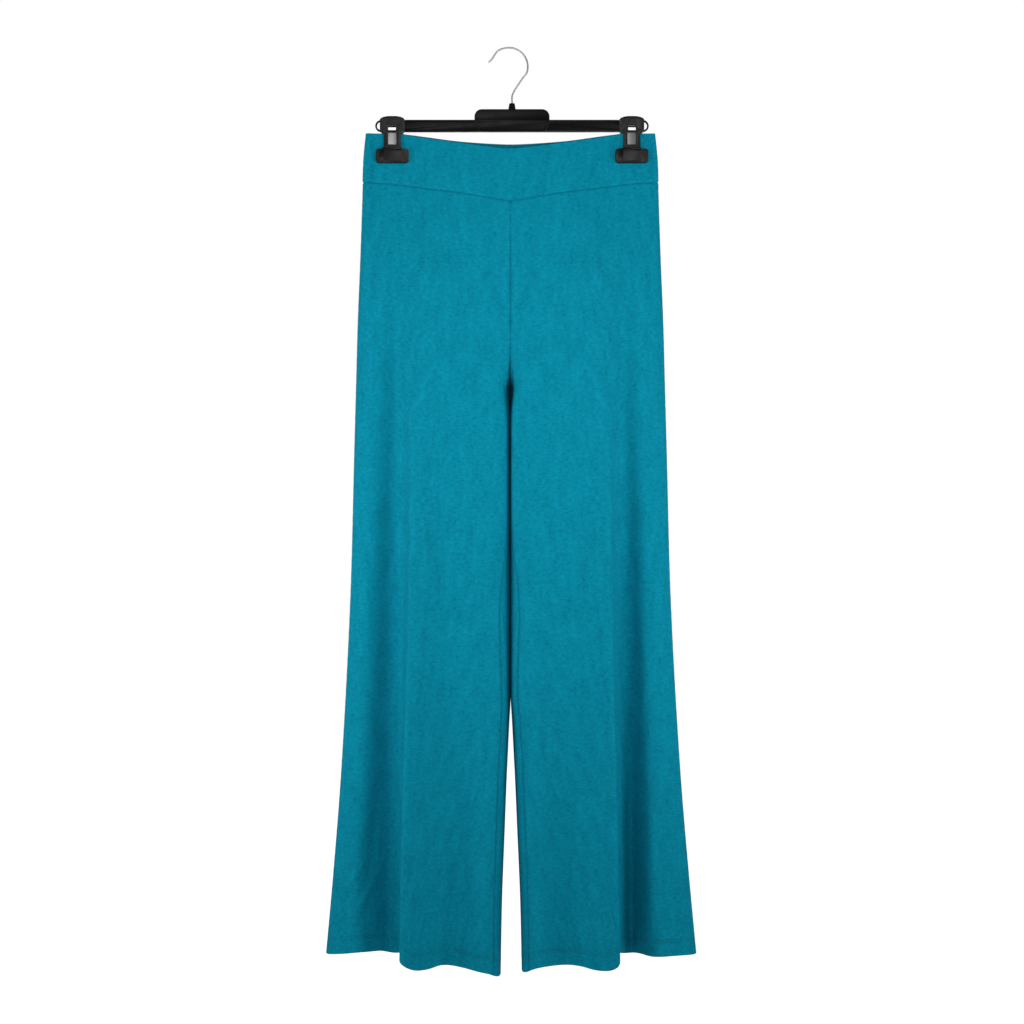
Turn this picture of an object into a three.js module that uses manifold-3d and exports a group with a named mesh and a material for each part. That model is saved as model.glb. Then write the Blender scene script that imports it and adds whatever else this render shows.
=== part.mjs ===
// Wide straight-leg jersey trousers hanging by their waistband from a clip hanger with a wire hook.
// Millimetres, +Z up. The front faces -Y and the wearer's left is +X.
// The origin is the top of the hook's inside, where a rail carries it.
import * as THREE from "three";
import { mergeVertices } from "three/addons/utils/BufferGeometryUtils.js";
import Module from "manifold-3d";

const wasm = await Module();
wasm.setup();

// ---------------------------------------------------------------- driving dimensions

const GAP = 0.3; // between neighbouring pieces
const LEG_CLOTH = 1.2; // one ply of jersey
const BAND_CLOTH = 2; // the waistband is two plies
const PLY_HALF = (BAND_CLOTH + GAP) / 2; // from the middle plane to a band held against the other

const CENTRE = -1.9; // the cloth's centre line hangs this far beside the hook
const TOP_Z = -109; // waistband's top edge at the side seams
const SEAM_Z = -171.3; // waist seam at the side seams
const HEM_Z = -1157.8; // hem at the side seams
const FORK_TOP_Z = -352; // side height of the row where the centre seams start to turn under
const CROTCH_Z = -409; // side height of the row that meets the crotch point
const HOLE_END_Z = -470; // side height where the legs touch again, below the crotch
const CLIP_X = 152.9;
const JAW_WIDTH = 42;
const JAW_BOTTOM_Z = -147.5;
const GRIP_MARGIN = 1; // the cloth stays flat this far past the jaws' edges
const PAD_TOP_Z = -127;

const BAR_TOP_Z = -91.8;
const BAR_BOTTOM_Z = -106.9;
const BAR_HALF = 175; // from the centre to the end of each end loop

// Outer form of the cloth by side height: sideways swing, half width to the side fold, depth of the
// front and of the back from the middle plane, and how square the side is (exponent).
const OUTER = [
  { z: -109, swing: 0, half: 184.9, front: 12, back: 10, square: 3.2 },
  { z: -143, swing: 0, half: 188, front: 14, back: 12, square: 3.2 },
  { z: -190, swing: 0, half: 189.3, front: 18, back: 17, square: 3.4 },
  { z: -270, swing: 0, half: 191.8, front: 25, back: 27, square: 3.8 },
  { z: -352, swing: 0, half: 195, front: 31, back: 35, square: 4 },
  { z: -424, swing: 0, half: 196.9, front: 34, back: 38, square: 4 },
  { z: -520, swing: 0, half: 199.5, front: 35, back: 37, square: 4 },
  { z: -680, swing: 0, half: 203.6, front: 34, back: 36, square: 4 },
  { z: -810, swing: 0.1, half: 209.6, front: 34, back: 36, square: 4 },
  { z: -940, swing: 0.4, half: 217.6, front: 34, back: 37, square: 4 },
  { z: -1060, swing: 0.7, half: 227.4, front: 34, back: 38, square: 4 },
  { z: HEM_Z, swing: 0.9, half: 236.4, front: 34, back: 39, square: 4 },
];

// Inner edges of the legs by side height: distance from the centre line, how far the edge rounds away,
// and the slant of the plane where the legs touch.
const INNER = [
  { z: -109, gap: 0, corner: 9, slant: 0 },
  { z: FORK_TOP_Z, gap: 0, corner: 9, slant: 0 },
  { z: CROTCH_Z, gap: 0, corner: 11, slant: 0.04 },
  { z: -422, gap: 0.62, corner: 10, slant: 0.06 },
  { z: -440, gap: 0.62, corner: 5, slant: 0.06 },
  { z: -462, gap: 0.62, corner: 1.8, slant: 0.05 },
  { z: -580, gap: 0.62, corner: 2, slant: 0.05 },
  { z: -660, gap: 0.62, corner: 6, slant: 0.06 },
  { z: -740, gap: 0.62, corner: 4, slant: 0.05 },
  { z: -803, gap: 0.62, corner: 3, slant: 0.04 },
  { z: -843, gap: 2.6, corner: 3, slant: 0 },
  { z: -906, gap: 5.7, corner: 3.5, slant: 0 },
  { z: -970, gap: 8.3, corner: 3.5, slant: 0 },
  { z: -1065, gap: 12.1, corner: 3.5, slant: 0 },
  { z: HEM_Z, gap: 14, corner: 3.5, slant: 0 },
];

const SLANT_REACH = 40; // the plane where the legs meet slants within this distance of their inner edges
const EDGE_PER_CORNER = 0.7; // power of the inner edge's rounding, times width over corner
const SIDE_FOLD_POWER = 80; // keeps the two faces apart right up to the side fold
const INSEAM = { turn: 37, over: 330 }; // how far it comes round to the front, and the height it takes
const GRIP = { outward: 10, slack: 0.15, inward: 70, below: 150 }; // how the clips' hold on the cloth fades

// Vertical folds. x: distance from the centre plane at the waist and at the hem; wide: half width there;
// out: how far it stands out (or, negative, falls in) at the hem; lean: sideways shift towards the side;
// start: share of the way down where it begins; power: how late it grows; left, right: strength.
const FOLDS = {
  front: [
    { x: [142, 155], wide: [15, 15.5], out: -55, lean: 0, start: 0.02, power: 1.25, left: 1, right: 0 },
    { x: [145, 157], wide: [19, 26], out: -42, lean: 0, start: 0.02, power: 0.8, left: 0, right: 1 },
    { x: [115, 109], wide: [13, 14], out: 25, lean: 26, start: 0.18, power: 0.75, left: 1, right: 0 },
    { x: [117, 112], wide: [16, 16], out: 25, lean: 26, start: 0.18, power: 0.75, left: 0, right: 1 },
    { x: [84, 74], wide: [20, 24], out: -15, lean: 0, start: 0.3, power: 1.4, left: 0.9, right: 1 },
    { x: [30, 36], wide: [12, 16], out: 6, lean: 0, start: 0.5, power: 1.3, left: 1, right: 1 },
    { x: [118, 104], wide: [9, 12], out: -3, lean: 0, start: 0.04, power: 0.7, left: 1.4, right: 0.5 },
  ],
  back: [
    { x: [150, 176], wide: [14, 22], out: 13, lean: 0, start: 0.05, power: 1.2, left: 1, right: 1.1 },
    { x: [112, 122], wide: [14, 20], out: -30, lean: -5, start: 0.12, power: 1.3, left: 1, right: 0.85 },
    { x: [70, 74], wide: [16, 19], out: 12, lean: 6, start: 0.3, power: 1.3, left: 0.9, right: 1.1 },
    { x: [30, 40], wide: [12, 15], out: -12, lean: 0, start: 0.4, power: 1.3, left: 1.1, right: 0.9 },
  ],
};

// How far each leg's hem hangs below its height at the side, by share of the way in to the inner edge.
const HEM_LINE = [
  { at: 0, left: 0, right: 0 },
  { at: 0.1, left: -0.8, right: -3 },
  { at: 0.2, left: -0.4, right: -5 },
  { at: 0.3, left: 0.1, right: -3 },
  { at: 0.38, left: 3.2, right: 0.6 },
  { at: 0.47, left: -6.2, right: -3.6 },
  { at: 0.52, left: -3, right: -1.5 },
  { at: 0.56, left: 3.5, right: 4 },
  { at: 0.6, left: 12.9, right: 12.7 },
  { at: 0.63, left: 14.6, right: 13.6 },
  { at: 0.67, left: 12, right: 10.6 },
  { at: 0.76, left: 10.6, right: 13.2 },
  { at: 0.88, left: 10.3, right: 16.6 },
  { at: 0.94, left: 13.5, right: 19.5 },
  { at: 1, left: 21.5, right: 26.5 },
];
const TOP_SAG = {
  front: { drop: 21, power: 1.3 },
  back: { drop: 12, power: 1.5 },
};
const SEAM_SAG = { front: 25.7, back: 12 };
const SAG_REACH = 141; // half of the free stretch of band between the clips
const SEAM_POINT_REACH = 157; // half width of the waist seam's point

// ---------------------------------------------------------------- cloth form

const FACE_SIGN = { front: -1, back: 1 };
const clamp01 = (t) => Math.min(1, Math.max(0, t));
const smooth = (t) => clamp01(t) ** 2 * (3 - 2 * clamp01(t));
const mix = (a, b, t) => a + (b - a) * t;

// Value of a column at a key, by a cubic through the rows whose slopes are those of their neighbours.
function column(table, key, name, value) {
  const up = table[0][key] < table[1][key] ? 1 : -1;
  let i = 0;
  while (i < table.length - 2 && up * value > up * table[i + 1][key]) i++;
  const at = (k) => table[Math.min(table.length - 1, Math.max(0, k))];
  const slope = (k) => (at(k + 1)[name] - at(k - 1)[name]) / (at(k + 1)[key] - at(k - 1)[key]);
  const step = at(i + 1)[key] - at(i)[key];
  const t = clamp01((value - at(i)[key]) / step);
  return (
    at(i)[name] * (1 + 2 * t) * (1 - t) ** 2 +
    at(i + 1)[name] * t * t * (3 - 2 * t) +
    step * (slope(i) * t * (1 - t) ** 2 - slope(i + 1) * t * t * (1 - t))
  );
}

// How far the centre hangs below the side, at each edge of the cloth.
const topSag = (face, x) =>
  TOP_SAG[face].drop * (1 - Math.min(1, x / SAG_REACH) ** TOP_SAG[face].power);
function seamSag(face, x) {
  const inside = 1 - x / SEAM_POINT_REACH;
  return (SEAM_SAG[face] * (inside + Math.sqrt(inside * inside + 0.02))) / 2;
}
function sag(side, face, level, x, a) {
  if (level > SEAM_Z)
    return mix(seamSag(face, x), topSag(face, x), (level - SEAM_Z) / (TOP_Z - SEAM_Z));
  const hem = column(HEM_LINE, "at", side > 0 ? "left" : "right", a);
  const shared = mix(seamSag("front", x), hem, (SEAM_Z - level) / (SEAM_Z - HEM_Z));
  const own = seamSag(face, x) - seamSag("front", x);
  return shared + own * (1 - smooth((SEAM_Z - level) / (SEAM_Z - FORK_TOP_Z)));
}

// 1 where a clip holds the two faces together, easing to 0 around and below it.
function grip(x, level) {
  const past = Math.abs(x - CLIP_X) - JAW_WIDTH / 2 - 1.5 * GRIP_MARGIN;
  const outward = (1 - GRIP.slack) * smooth(past / GRIP.outward);
  const loosened = x > CLIP_X ? outward : smooth(past / GRIP.inward);
  return (1 - loosened) * (1 - smooth((JAW_BOTTOM_Z - 1.5 * GRIP_MARGIN - level) / GRIP.below));
}

// A point of the cloth's middle surface. a runs from the side seam (0) to the inner edge (1).
function clothPoint(side, face, level, a) {
  const outerOf = (name) => column(OUTER, "z", name, level);
  const innerOf = (name) => column(INNER, "z", name, level);
  const gap = Math.max(0, innerOf("gap"));
  const width = outerOf("half") - gap;
  const x = gap + width * (1 - a);
  const turned = clamp01((FORK_TOP_Z - level) / (FORK_TOP_Z - CROTCH_Z)) ** 2;
  const outer = Math.sqrt(1 - (1 - a) ** outerOf("square"));
  const inner = Math.sqrt(1 - turned * a ** ((EDGE_PER_CORNER * width) / innerOf("corner")));
  const ends = Math.sqrt(1 - (1 - a) ** SIDE_FOLD_POWER) * inner;
  const down = clamp01((SEAM_Z - level) / (SEAM_Z - HEM_Z));
  let depth = outerOf(face);
  let lean = 0;
  for (const fold of FOLDS[face]) {
    const grown = clamp01((down - fold.start) / (1 - fold.start)) ** fold.power;
    const off = (x - mix(...fold.x, down)) / mix(...fold.wide, down);
    const bump = grown * Math.exp(-off * off) * (side > 0 ? fold.left : fold.right);
    depth += fold.out * bump;
    lean += fold.lean * bump;
  }
  const centre = CENTRE + outerOf("swing");
  const free = 1 - grip(Math.abs(centre + side * x), level);
  const y = FACE_SIGN[face] * (PLY_HALF * ends + depth * outer * inner * free);
  const slanted = innerOf("slant") * y * Math.exp(-((x / SLANT_REACH) ** 2));
  return new THREE.Vector3(
    centre + side * (x + lean * outer * inner) + slanted,
    y,
    level - sag(side, face, level, x, a),
  );
}

// ---------------------------------------------------------------- lines and walls of cloth

// One face of one half at a level, as close points from the side seam to the inner edge.
function faceLine(side, face, level) {
  const steps = 160;
  return Array.from({ length: steps + 1 }, (_, i) =>
    clothPoint(side, face, level, (1 - Math.cos((Math.PI * i) / steps)) / 2),
  );
}

const lengthsAlong = (line) =>
  line.reduce((sum, p, i) => [...sum, i ? sum[i - 1] + p.distanceTo(line[i - 1]) : 0], []);

function pointAt(line, lengths, s) {
  let i = 1;
  while (i < line.length - 1 && lengths[i] < s) i++;
  const t = (s - lengths[i - 1]) / Math.max(1e-9, lengths[i] - lengths[i - 1]);
  return line[i - 1].clone().lerp(line[i], t);
}

// The inseam lies this far round to the front of the leg's inner edge, measured along the cloth.
const inseamTurn = (level) => INSEAM.turn * smooth((CROTCH_Z - level) / INSEAM.over);

// The cut line of a leg panel at a level: the back panel reaches round the inner edge to the inseam.
function panelLine(side, face, level) {
  const front = faceLine(side, "front", level);
  const lengths = lengthsAlong(front);
  const cut = lengths.at(-1) - inseamTurn(level);
  const corner = pointAt(front, lengths, cut);
  if (face === "front") return [...front.filter((_, i) => lengths[i] < cut - 0.01), corner];
  const round = front.filter((_, i) => lengths[i] > cut + 0.01).reverse();
  const back = faceLine(side, "back", level);
  return inseamTurn(level) > 0 ? [...back, ...round.slice(1), corner] : back;
}

// The cut line of a band at a level, from the wearer's right side seam to the left one.
function bandLine(face, level) {
  return [...faceLine(-1, face, level), ...faceLine(1, face, level).reverse().slice(1)];
}

// Steps along a line, each with its outward direction in plan. spans lists stretches, each with its
// count of even steps and the length along the line where it ends, the last one at the line's end.
// Both ends of the line are kept half a gap back.
function stitchPoints(line, spans, outward) {
  const lengths = lengthsAlong(line);
  const total = lengths.at(-1);
  const near = 0.2; // half of the stretch that a direction is taken over
  const stops = [GAP / 2];
  for (const { endsAt, steps } of spans) {
    const from = stops.at(-1);
    const end = endsAt ? endsAt(line, lengths) : total - GAP / 2;
    for (let i = 1; i <= steps; i++) stops.push(mix(from, end, i / steps));
  }
  return stops.map((s) => {
    const before = pointAt(line, lengths, Math.max(0, s - near));
    const after = pointAt(line, lengths, Math.min(total, s + near));
    const along = after.sub(before).normalize();
    const normal = new THREE.Vector3(along.y, -along.x, 0).normalize();
    return { point: pointAt(line, lengths, s), normal: normal.multiplyScalar(outward) };
  });
}

// A closed wall from rows of points with directions. limit keeps each point on its own side.
function wall(rows, thickness, limit = (p) => p) {
  const columns = rows[0].length;
  const moved = ({ point, normal }, out) => limit(point.clone().addScaledVector(normal, out));
  const ply = (out) => rows.flat().map((place) => moved(place, out));
  const points = [...ply(thickness / 2), ...ply(-thickness / 2)];
  const inner = rows.length * columns;
  const faces = [];
  const quad = (a, b, c, d) => faces.push(a, b, c, a, c, d);
  for (let j = 0; j + 1 < rows.length; j++)
    for (let i = 0; i + 1 < columns; i++) {
      const k = j * columns + i;
      quad(k, k + columns, k + columns + 1, k + 1);
      quad(inner + k, inner + k + 1, inner + k + columns + 1, inner + k + columns);
    }
  const last = inner - columns;
  for (let i = 0; i + 1 < columns; i++) {
    quad(i, i + 1, inner + i + 1, inner + i);
    quad(last + i, inner + last + i, inner + last + i + 1, last + i + 1);
  }
  for (let j = 0; j + 1 < rows.length; j++) {
    const k = j * columns;
    quad(k, inner + k, inner + k + columns, k + columns);
    quad(k + columns - 1, k + 2 * columns - 1, inner + k + 2 * columns - 1, inner + k + columns - 1);
  }
  return facingOut(points, faces);
}

// Geometry from points and corner numbers, turned so that its faces point out.
function facingOut(points, faces) {
  let volume = 0;
  for (let i = 0; i < faces.length; i += 3)
    volume += points[faces[i]].dot(points[faces[i + 1]].clone().cross(points[faces[i + 2]]));
  if (volume < 0) faces.reverse();
  const geometry = new THREE.BufferGeometry().setFromPoints(points);
  geometry.setIndex(faces);
  return geometry;
}

// ---------------------------------------------------------------- garment pieces

// Side heights of a leg panel's rows: closer where the centre seam turns under at the crotch.
function legLevels() {
  const span = (from, to, count, ease) =>
    Array.from({ length: count }, (_, i) => mix(from, to, ease((i + 1) / count)));
  return [
    SEAM_Z - GAP / 2,
    ...span(SEAM_Z, FORK_TOP_Z, 5, (t) => t),
    ...span(FORK_TOP_Z, CROTCH_Z, 5, (t) => Math.sin((t * Math.PI) / 2)),
    ...span(CROTCH_Z, HOLE_END_Z, 3, (t) => t),
    ...span(HOLE_END_Z, HEM_Z, 12, (t) => t),
  ];
}

const INNER_REACH = 58; // stretch of closer steps, along the cloth from the inner edge's middle

// A leg panel has even steps from the side seam, then closer ones to the inner edge or the inseam.
function legPanel(side, face) {
  const rows = legLevels().map((level) => {
    const turn = FACE_SIGN[face] * inseamTurn(level);
    const endsAt = (line, lengths) => lengths.at(-1) - INNER_REACH - turn;
    const spans = [{ endsAt, steps: 15 }, { steps: 10 }];
    return stitchPoints(panelLine(side, face, level), spans, side * -FACE_SIGN[face]);
  });
  const onItsSide = (p) => {
    const slant = column(INNER, "z", "slant", p.z + SEAM_SAG.front);
    const plane = CENTRE + slant * p.y * Math.exp(-((p.x / SLANT_REACH) ** 2));
    return p.setX(plane + side * Math.max(GAP / 2, side * (p.x - plane)));
  };
  return wall(rows, LEG_CLOTH, onItsSide);
}

// The bands' steps are set so that the cloth is flat over the whole of each clip's jaws.
const GRIP_IN = CLIP_X - JAW_WIDTH / 2 - GRIP_MARGIN;
const GRIP_OUT = CLIP_X + JAW_WIDTH / 2 + GRIP_MARGIN;
const atX = (x) => (line, lengths) => lengths[line.findIndex((p) => p.x >= x)];
const BAND_SPANS = [
  { endsAt: atX(-GRIP_OUT), steps: 5 },
  { endsAt: atX(-GRIP_IN), steps: 4 },
  { endsAt: atX(GRIP_IN), steps: 28 },
  { endsAt: atX(GRIP_OUT), steps: 4 },
  { steps: 5 },
];
const BAND_LEVELS = [TOP_Z, -128, JAW_BOTTOM_Z - GRIP_MARGIN, -160, SEAM_Z + GAP / 2];

function band(face) {
  const rows = BAND_LEVELS.map((level) => stitchPoints(bandLine(face, level), BAND_SPANS, FACE_SIGN[face]));
  return wall(rows, BAND_CLOTH);
}

// ---------------------------------------------------------------- solids of the hanger

function solid(geometry) {
  const bare = geometry.clone();
  bare.deleteAttribute("normal");
  bare.deleteAttribute("uv");
  const merged = mergeVertices(bare, 1e-4);
  const vertProperties = merged.attributes.position.array;
  const triVerts = new Uint32Array(merged.index.array);
  return new wasm.Manifold(new wasm.Mesh({ numProp: 3, vertProperties, triVerts }));
}

function geometryOf(manifold) {
  const { vertProperties, triVerts } = manifold.getMesh();
  const geometry = new THREE.BufferGeometry();
  geometry.setAttribute("position", new THREE.BufferAttribute(vertProperties, 3));
  geometry.setIndex(new THREE.BufferAttribute(triVerts, 1));
  return geometry;
}

// A front outline (x, z) as a plate from y = back to y = front.
function plate(shape, from, to, curveSegments = 6) {
  const made = new THREE.ExtrudeGeometry(shape, { depth: to - from, bevelEnabled: false, curveSegments });
  return made.rotateX(Math.PI / 2).translate(0, to, 0);
}

function box(x0, x1, y0, y1, z0, z1) {
  const made = new THREE.BoxGeometry(x1 - x0, y1 - y0, z1 - z0);
  return made.translate((x0 + x1) / 2, (y0 + y1) / 2, (z0 + z1) / 2);
}

// A rectangle with its top corners, and if asked its bottom ones, rounded.
function roundedShape(x0, x1, z0, z1, top, bottom = 0) {
  const s = new THREE.Shape();
  s.moveTo(x0 + bottom, z0);
  s.lineTo(x1 - bottom, z0);
  if (bottom) s.absarc(x1 - bottom, z0 + bottom, bottom, -Math.PI / 2, 0);
  s.lineTo(x1, z1 - top);
  s.absarc(x1 - top, z1 - top, top, 0, Math.PI / 2);
  s.lineTo(x0 + top, z1);
  s.absarc(x0 + top, z1 - top, top, Math.PI / 2, Math.PI);
  s.lineTo(x0, z0 + bottom);
  if (bottom) s.absarc(x0 + bottom, z0 + bottom, bottom, Math.PI, 1.5 * Math.PI);
  return s;
}

const WEB_HALF = 1.5; // half thickness of the bar's web, its end loops and their rails
const FLANGE_HALF = 3.2;
const FLANGE = 2; // height of the bar's two flanges
const FLANGE_END = 136.4; // the flanges stop short of the clips' heads
const PANEL = { half: 48, top: -78.2, round: 9.5, cutIn: 6, cutUp: 11, core: 2.2 };
const LOOP = { start: 141, rail: 2.2 }; // where the hole of an end loop starts, and its rim
const WIRE = 2.2;
const BORE = WIRE / 2 + GAP; // radius of the hole that takes the hook's stem
const COLLAR = { top: -70.4, foot: -79, topRadius: 3.4, footRadius: 4.8, floor: -76.4, facets: 16 };
const THROUGH = 12; // cutting tools and blanks reach this far past the middle plane

// Outline of the centre panel: round top corners, and lower corners cut off slantwise.
function panelShape(inset) {
  const half = PANEL.half - inset;
  const foot = BAR_BOTTOM_Z + inset;
  const top = PANEL.top - inset;
  const round = PANEL.round - inset;
  const s = new THREE.Shape();
  s.moveTo(-half + PANEL.cutIn, foot);
  s.lineTo(half - PANEL.cutIn, foot);
  s.lineTo(half, foot + PANEL.cutUp);
  s.lineTo(half, top - round);
  s.absarc(half - round, top - round, round, 0, Math.PI / 2);
  s.lineTo(-half + round, top);
  s.absarc(-half + round, top - round, round, Math.PI / 2, Math.PI);
  s.lineTo(-half, foot + PANEL.cutUp);
  return s;
}

// A loop at one end of the bar, which a clip hangs on: its ring and the hole through it.
function endLoop(side) {
  const outline = (near, far, inset) => {
    const x0 = Math.min(side * near, side * far);
    const x1 = Math.max(side * near, side * far);
    const round = (BAR_TOP_Z - BAR_BOTTOM_Z) / 2 - inset;
    return roundedShape(x0, x1, BAR_BOTTOM_Z + inset, BAR_TOP_Z - inset, round, round);
  };
  const ring = outline(LOOP.start - LOOP.rail, BAR_HALF, 0);
  const hole = outline(LOOP.start, BAR_HALF - LOOP.rail, LOOP.rail);
  return {
    ring: solid(plate(ring, -WEB_HALF, WEB_HALF)),
    hole: solid(plate(hole, -THROUGH, THROUGH)),
  };
}

// The collar that the hook's stem is pushed into.
function collar() {
  const { top, foot, topRadius, footRadius, floor, facets } = COLLAR;
  const profile = [[0, foot], [footRadius, foot], [topRadius, top], [BORE, top], [BORE, floor], [0, floor]];
  const turned = new THREE.LatheGeometry(profile.map(([r, z]) => new THREE.Vector2(r, z)), facets);
  return solid(turned.rotateX(Math.PI / 2));
}

// The bar: a flat web with two flanges, the centre panel with its hollow, the end loops and the collar.
function hangerBar() {
  const webEnd = LOOP.start + (BAR_TOP_Z - BAR_BOTTOM_Z) / 2;
  let made = solid(box(-webEnd, webEnd, -WEB_HALF, WEB_HALF, BAR_BOTTOM_Z, BAR_TOP_Z));
  for (const z of [BAR_TOP_Z - FLANGE, BAR_BOTTOM_Z])
    made = made.add(solid(box(-FLANGE_END, FLANGE_END, -FLANGE_HALF, FLANGE_HALF, z, z + FLANGE)));
  const hollow = solid(plate(panelShape(FLANGE), -THROUGH, THROUGH));
  made = made.add(solid(plate(panelShape(0), -FLANGE_HALF, FLANGE_HALF)).subtract(hollow));
  made = made.add(solid(plate(panelShape(0), -PANEL.core, PANEL.core)));
  for (const side of [-1, 1]) {
    const { ring, hole } = endLoop(side);
    made = made.add(ring).subtract(hole);
  }
  return geometryOf(made.add(collar()));
}

const HOOK = { x: -4.1, radius: 24.3, from: 128, to: -20, steps: 8 };

// The hook's centre line: a flicked tip, most of a circle, a slanting neck and an upright stem.
function hookRoute() {
  const middleZ = WIRE / 2 - HOOK.radius;
  const arc = Array.from({ length: HOOK.steps + 1 }, (_, i) => {
    const angle = THREE.MathUtils.degToRad(mix(HOOK.from, HOOK.to, i / HOOK.steps));
    return [HOOK.x + HOOK.radius * Math.cos(angle), middleZ + HOOK.radius * Math.sin(angle)];
  });
  const tip = [[-29.3, -17.2], [-25.6, -13.6]];
  const neck = [[12.6, -39.6], [5.2, -50.8], [1.3, -57.6], [0, -63], [0, -69], [0, COLLAR.floor + GAP]];
  const route = [...tip, ...arc, ...neck].map(([x, z]) => new THREE.Vector3(x, 0, z));
  return new THREE.CatmullRomCurve3(route);
}

function hangerHook() {
  const section = new THREE.Shape().absarc(0, 0, WIRE / 2, 0, 2 * Math.PI);
  return new THREE.ExtrudeGeometry(section, { steps: 48, extrudePath: hookRoute(), curveSegments: 6 });
}

// ---------------------------------------------------------------- clips

const HEAD = { half: 15.9, top: -87.7, shoulder: -93, foot: -105.8, taper: 4.5 };
const NECK_HALF = 10.9;
const WINDOW = { half: 5.8, top: -99.7, bottom: -124 };
const FOOT = { top: -129, corner: 4.2, fillet: 3 }; // the wide foot that grips the cloth
const SPRING = { half: 5.4, steel: 0.8, arm: 5.8, bend: 2.4 };

// Front outline of a jaw, about its own middle: domed head, neck and wide gripping foot.
function jawOutline() {
  const half = JAW_WIDTH / 2;
  const turn = half - FOOT.corner;
  const low = JAW_BOTTOM_Z + FOOT.corner;
  const high = FOOT.top - FOOT.corner;
  const neckTop = HEAD.foot - HEAD.taper;
  const s = new THREE.Shape();
  s.moveTo(-turn, JAW_BOTTOM_Z);
  s.lineTo(turn, JAW_BOTTOM_Z);
  s.absarc(turn, low, FOOT.corner, -Math.PI / 2, 0);
  s.absarc(turn, high, FOOT.corner, 0, Math.PI / 2);
  s.lineTo(NECK_HALF + FOOT.fillet, FOOT.top);
  s.quadraticCurveTo(NECK_HALF, FOOT.top, NECK_HALF, FOOT.top + FOOT.fillet);
  s.lineTo(NECK_HALF, neckTop);
  s.lineTo(HEAD.half, HEAD.foot);
  s.absellipse(0, HEAD.shoulder, HEAD.half, HEAD.top - HEAD.shoulder, 0, Math.PI);
  s.lineTo(-HEAD.half, HEAD.foot);
  s.lineTo(-NECK_HALF, neckTop);
  s.lineTo(-NECK_HALF, FOOT.top + FOOT.fillet);
  s.quadraticCurveTo(-NECK_HALF, FOOT.top, -NECK_HALF - FOOT.fillet, FOOT.top);
  s.lineTo(-turn, FOOT.top);
  s.absarc(-turn, high, FOOT.corner, Math.PI / 2, Math.PI);
  s.absarc(-turn, low, FOOT.corner, Math.PI, 1.5 * Math.PI);
  return s;
}

// Side outline of a jaw, as distance out from the middle plane and height: a gripping pad,
// a hollow over the cloth's edge, a seat on the loop's lower rail and a thumb plate that leans out.
const PAD_INSIDE = PLY_HALF + BAND_CLOTH / 2 + GAP;
const RAIL_SEAT = WEB_HALF + GAP;
const JAW_SIDE = [
  { out: PAD_INSIDE, z: JAW_BOTTOM_Z },
  { out: PAD_INSIDE, z: PAD_TOP_Z },
  { out: PAD_INSIDE + 1, z: PAD_TOP_Z + 1.5 },
  { out: PAD_INSIDE + 1, z: -110 },
  { out: RAIL_SEAT, z: -107.6 },
  { out: RAIL_SEAT, z: -104.2 },
  { out: 6.4, z: HEAD.top - 1.6 },
  { out: 7.4, z: HEAD.top },
  { out: 8.8, z: HEAD.top - 0.6 },
  { out: 9.4, z: HEAD.top - 2.6 },
  { out: 6.8, z: -105 },
  { out: 6.2, z: -112 },
  { out: 6.2, z: FOOT.top + 3 },
  { out: 7.8, z: FOOT.top - 2 },
  { out: 7.8, z: -144 },
  { out: 6.4, z: JAW_BOTTOM_Z },
];

function jaw(side, face) {
  const outline = solid(plate(jawOutline(), -THROUGH, THROUGH));
  const profile = new THREE.Shape(JAW_SIDE.map(({ out, z }) => new THREE.Vector2(out, z)));
  const slab = plate(profile, -JAW_WIDTH, JAW_WIDTH).rotateZ((FACE_SIGN[face] * Math.PI) / 2);
  const window = solid(box(-WINDOW.half, WINDOW.half, -THROUGH, THROUGH, WINDOW.bottom, WINDOW.top));
  return geometryOf(outline.intersect(solid(slab)).subtract(window).translate(side * CLIP_X, 0, 0));
}

// A flat steel strip bent over the cloth's edge, with an arm in each jaw's window.
function spring(side) {
  const { half, steel: thick, arm, bend } = SPRING;
  const foot = WINDOW.bottom + GAP;
  const top = BAR_BOTTOM_Z - GAP;
  const outer = roundedShape(-arm, arm, foot, top, bend);
  const inner = roundedShape(-arm + thick, arm - thick, foot - THROUGH, top - thick, bend - thick);
  const strip = (shape, out) => solid(plate(shape, -out, out)).rotate([0, 0, 90]);
  return geometryOf(strip(outer, half).subtract(strip(inner, THROUGH)).translate(side * CLIP_X, 0, 0));
}

// ---------------------------------------------------------------- assembly

const jersey = new THREE.MeshStandardMaterial({ color: 0x0a86a0, roughness: 0.85 });
const blackPlastic = new THREE.MeshStandardMaterial({ color: 0x1c1c1d, roughness: 0.42 });
const steel = new THREE.MeshStandardMaterial({ color: 0xc9cacb, roughness: 0.22, metalness: 1 });
const group = new THREE.Group();

function add(name, geometry, material) {
  const mesh = new THREE.Mesh(geometry, material);
  mesh.name = name;
  group.add(mesh);
}

add("waistband_front", band("front"), jersey);
add("waistband_back", band("back"), jersey);
for (const [name, side] of [["left", 1], ["right", -1]]) {
  add(`leg_front_${name}`, legPanel(side, "front"), jersey);
  add(`leg_back_${name}`, legPanel(side, "back"), jersey);
  add(`clip_${name}_front_jaw`, jaw(side, "front"), blackPlastic);
  add(`clip_${name}_back_jaw`, jaw(side, "back"), blackPlastic);
  add(`clip_${name}_spring`, spring(side), steel);
}
add("hanger_bar", hangerBar(), blackPlastic);
add("hanger_hook", hangerHook(), steel);

export default group;
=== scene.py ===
"""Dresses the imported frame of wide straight-leg jersey trousers that hang from a clip hanger.

The cloth follows the same form as its solids, with finer seams, hems, creases and stitches.
Tables and sizes are in millimetres and become metres where a mesh is made.
The front faces -Y, +Z is up and the wearer's left is +X.
"""

import logging
import math
from dataclasses import dataclass, field
from enum import Enum
from typing import Callable, Sequence

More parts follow.
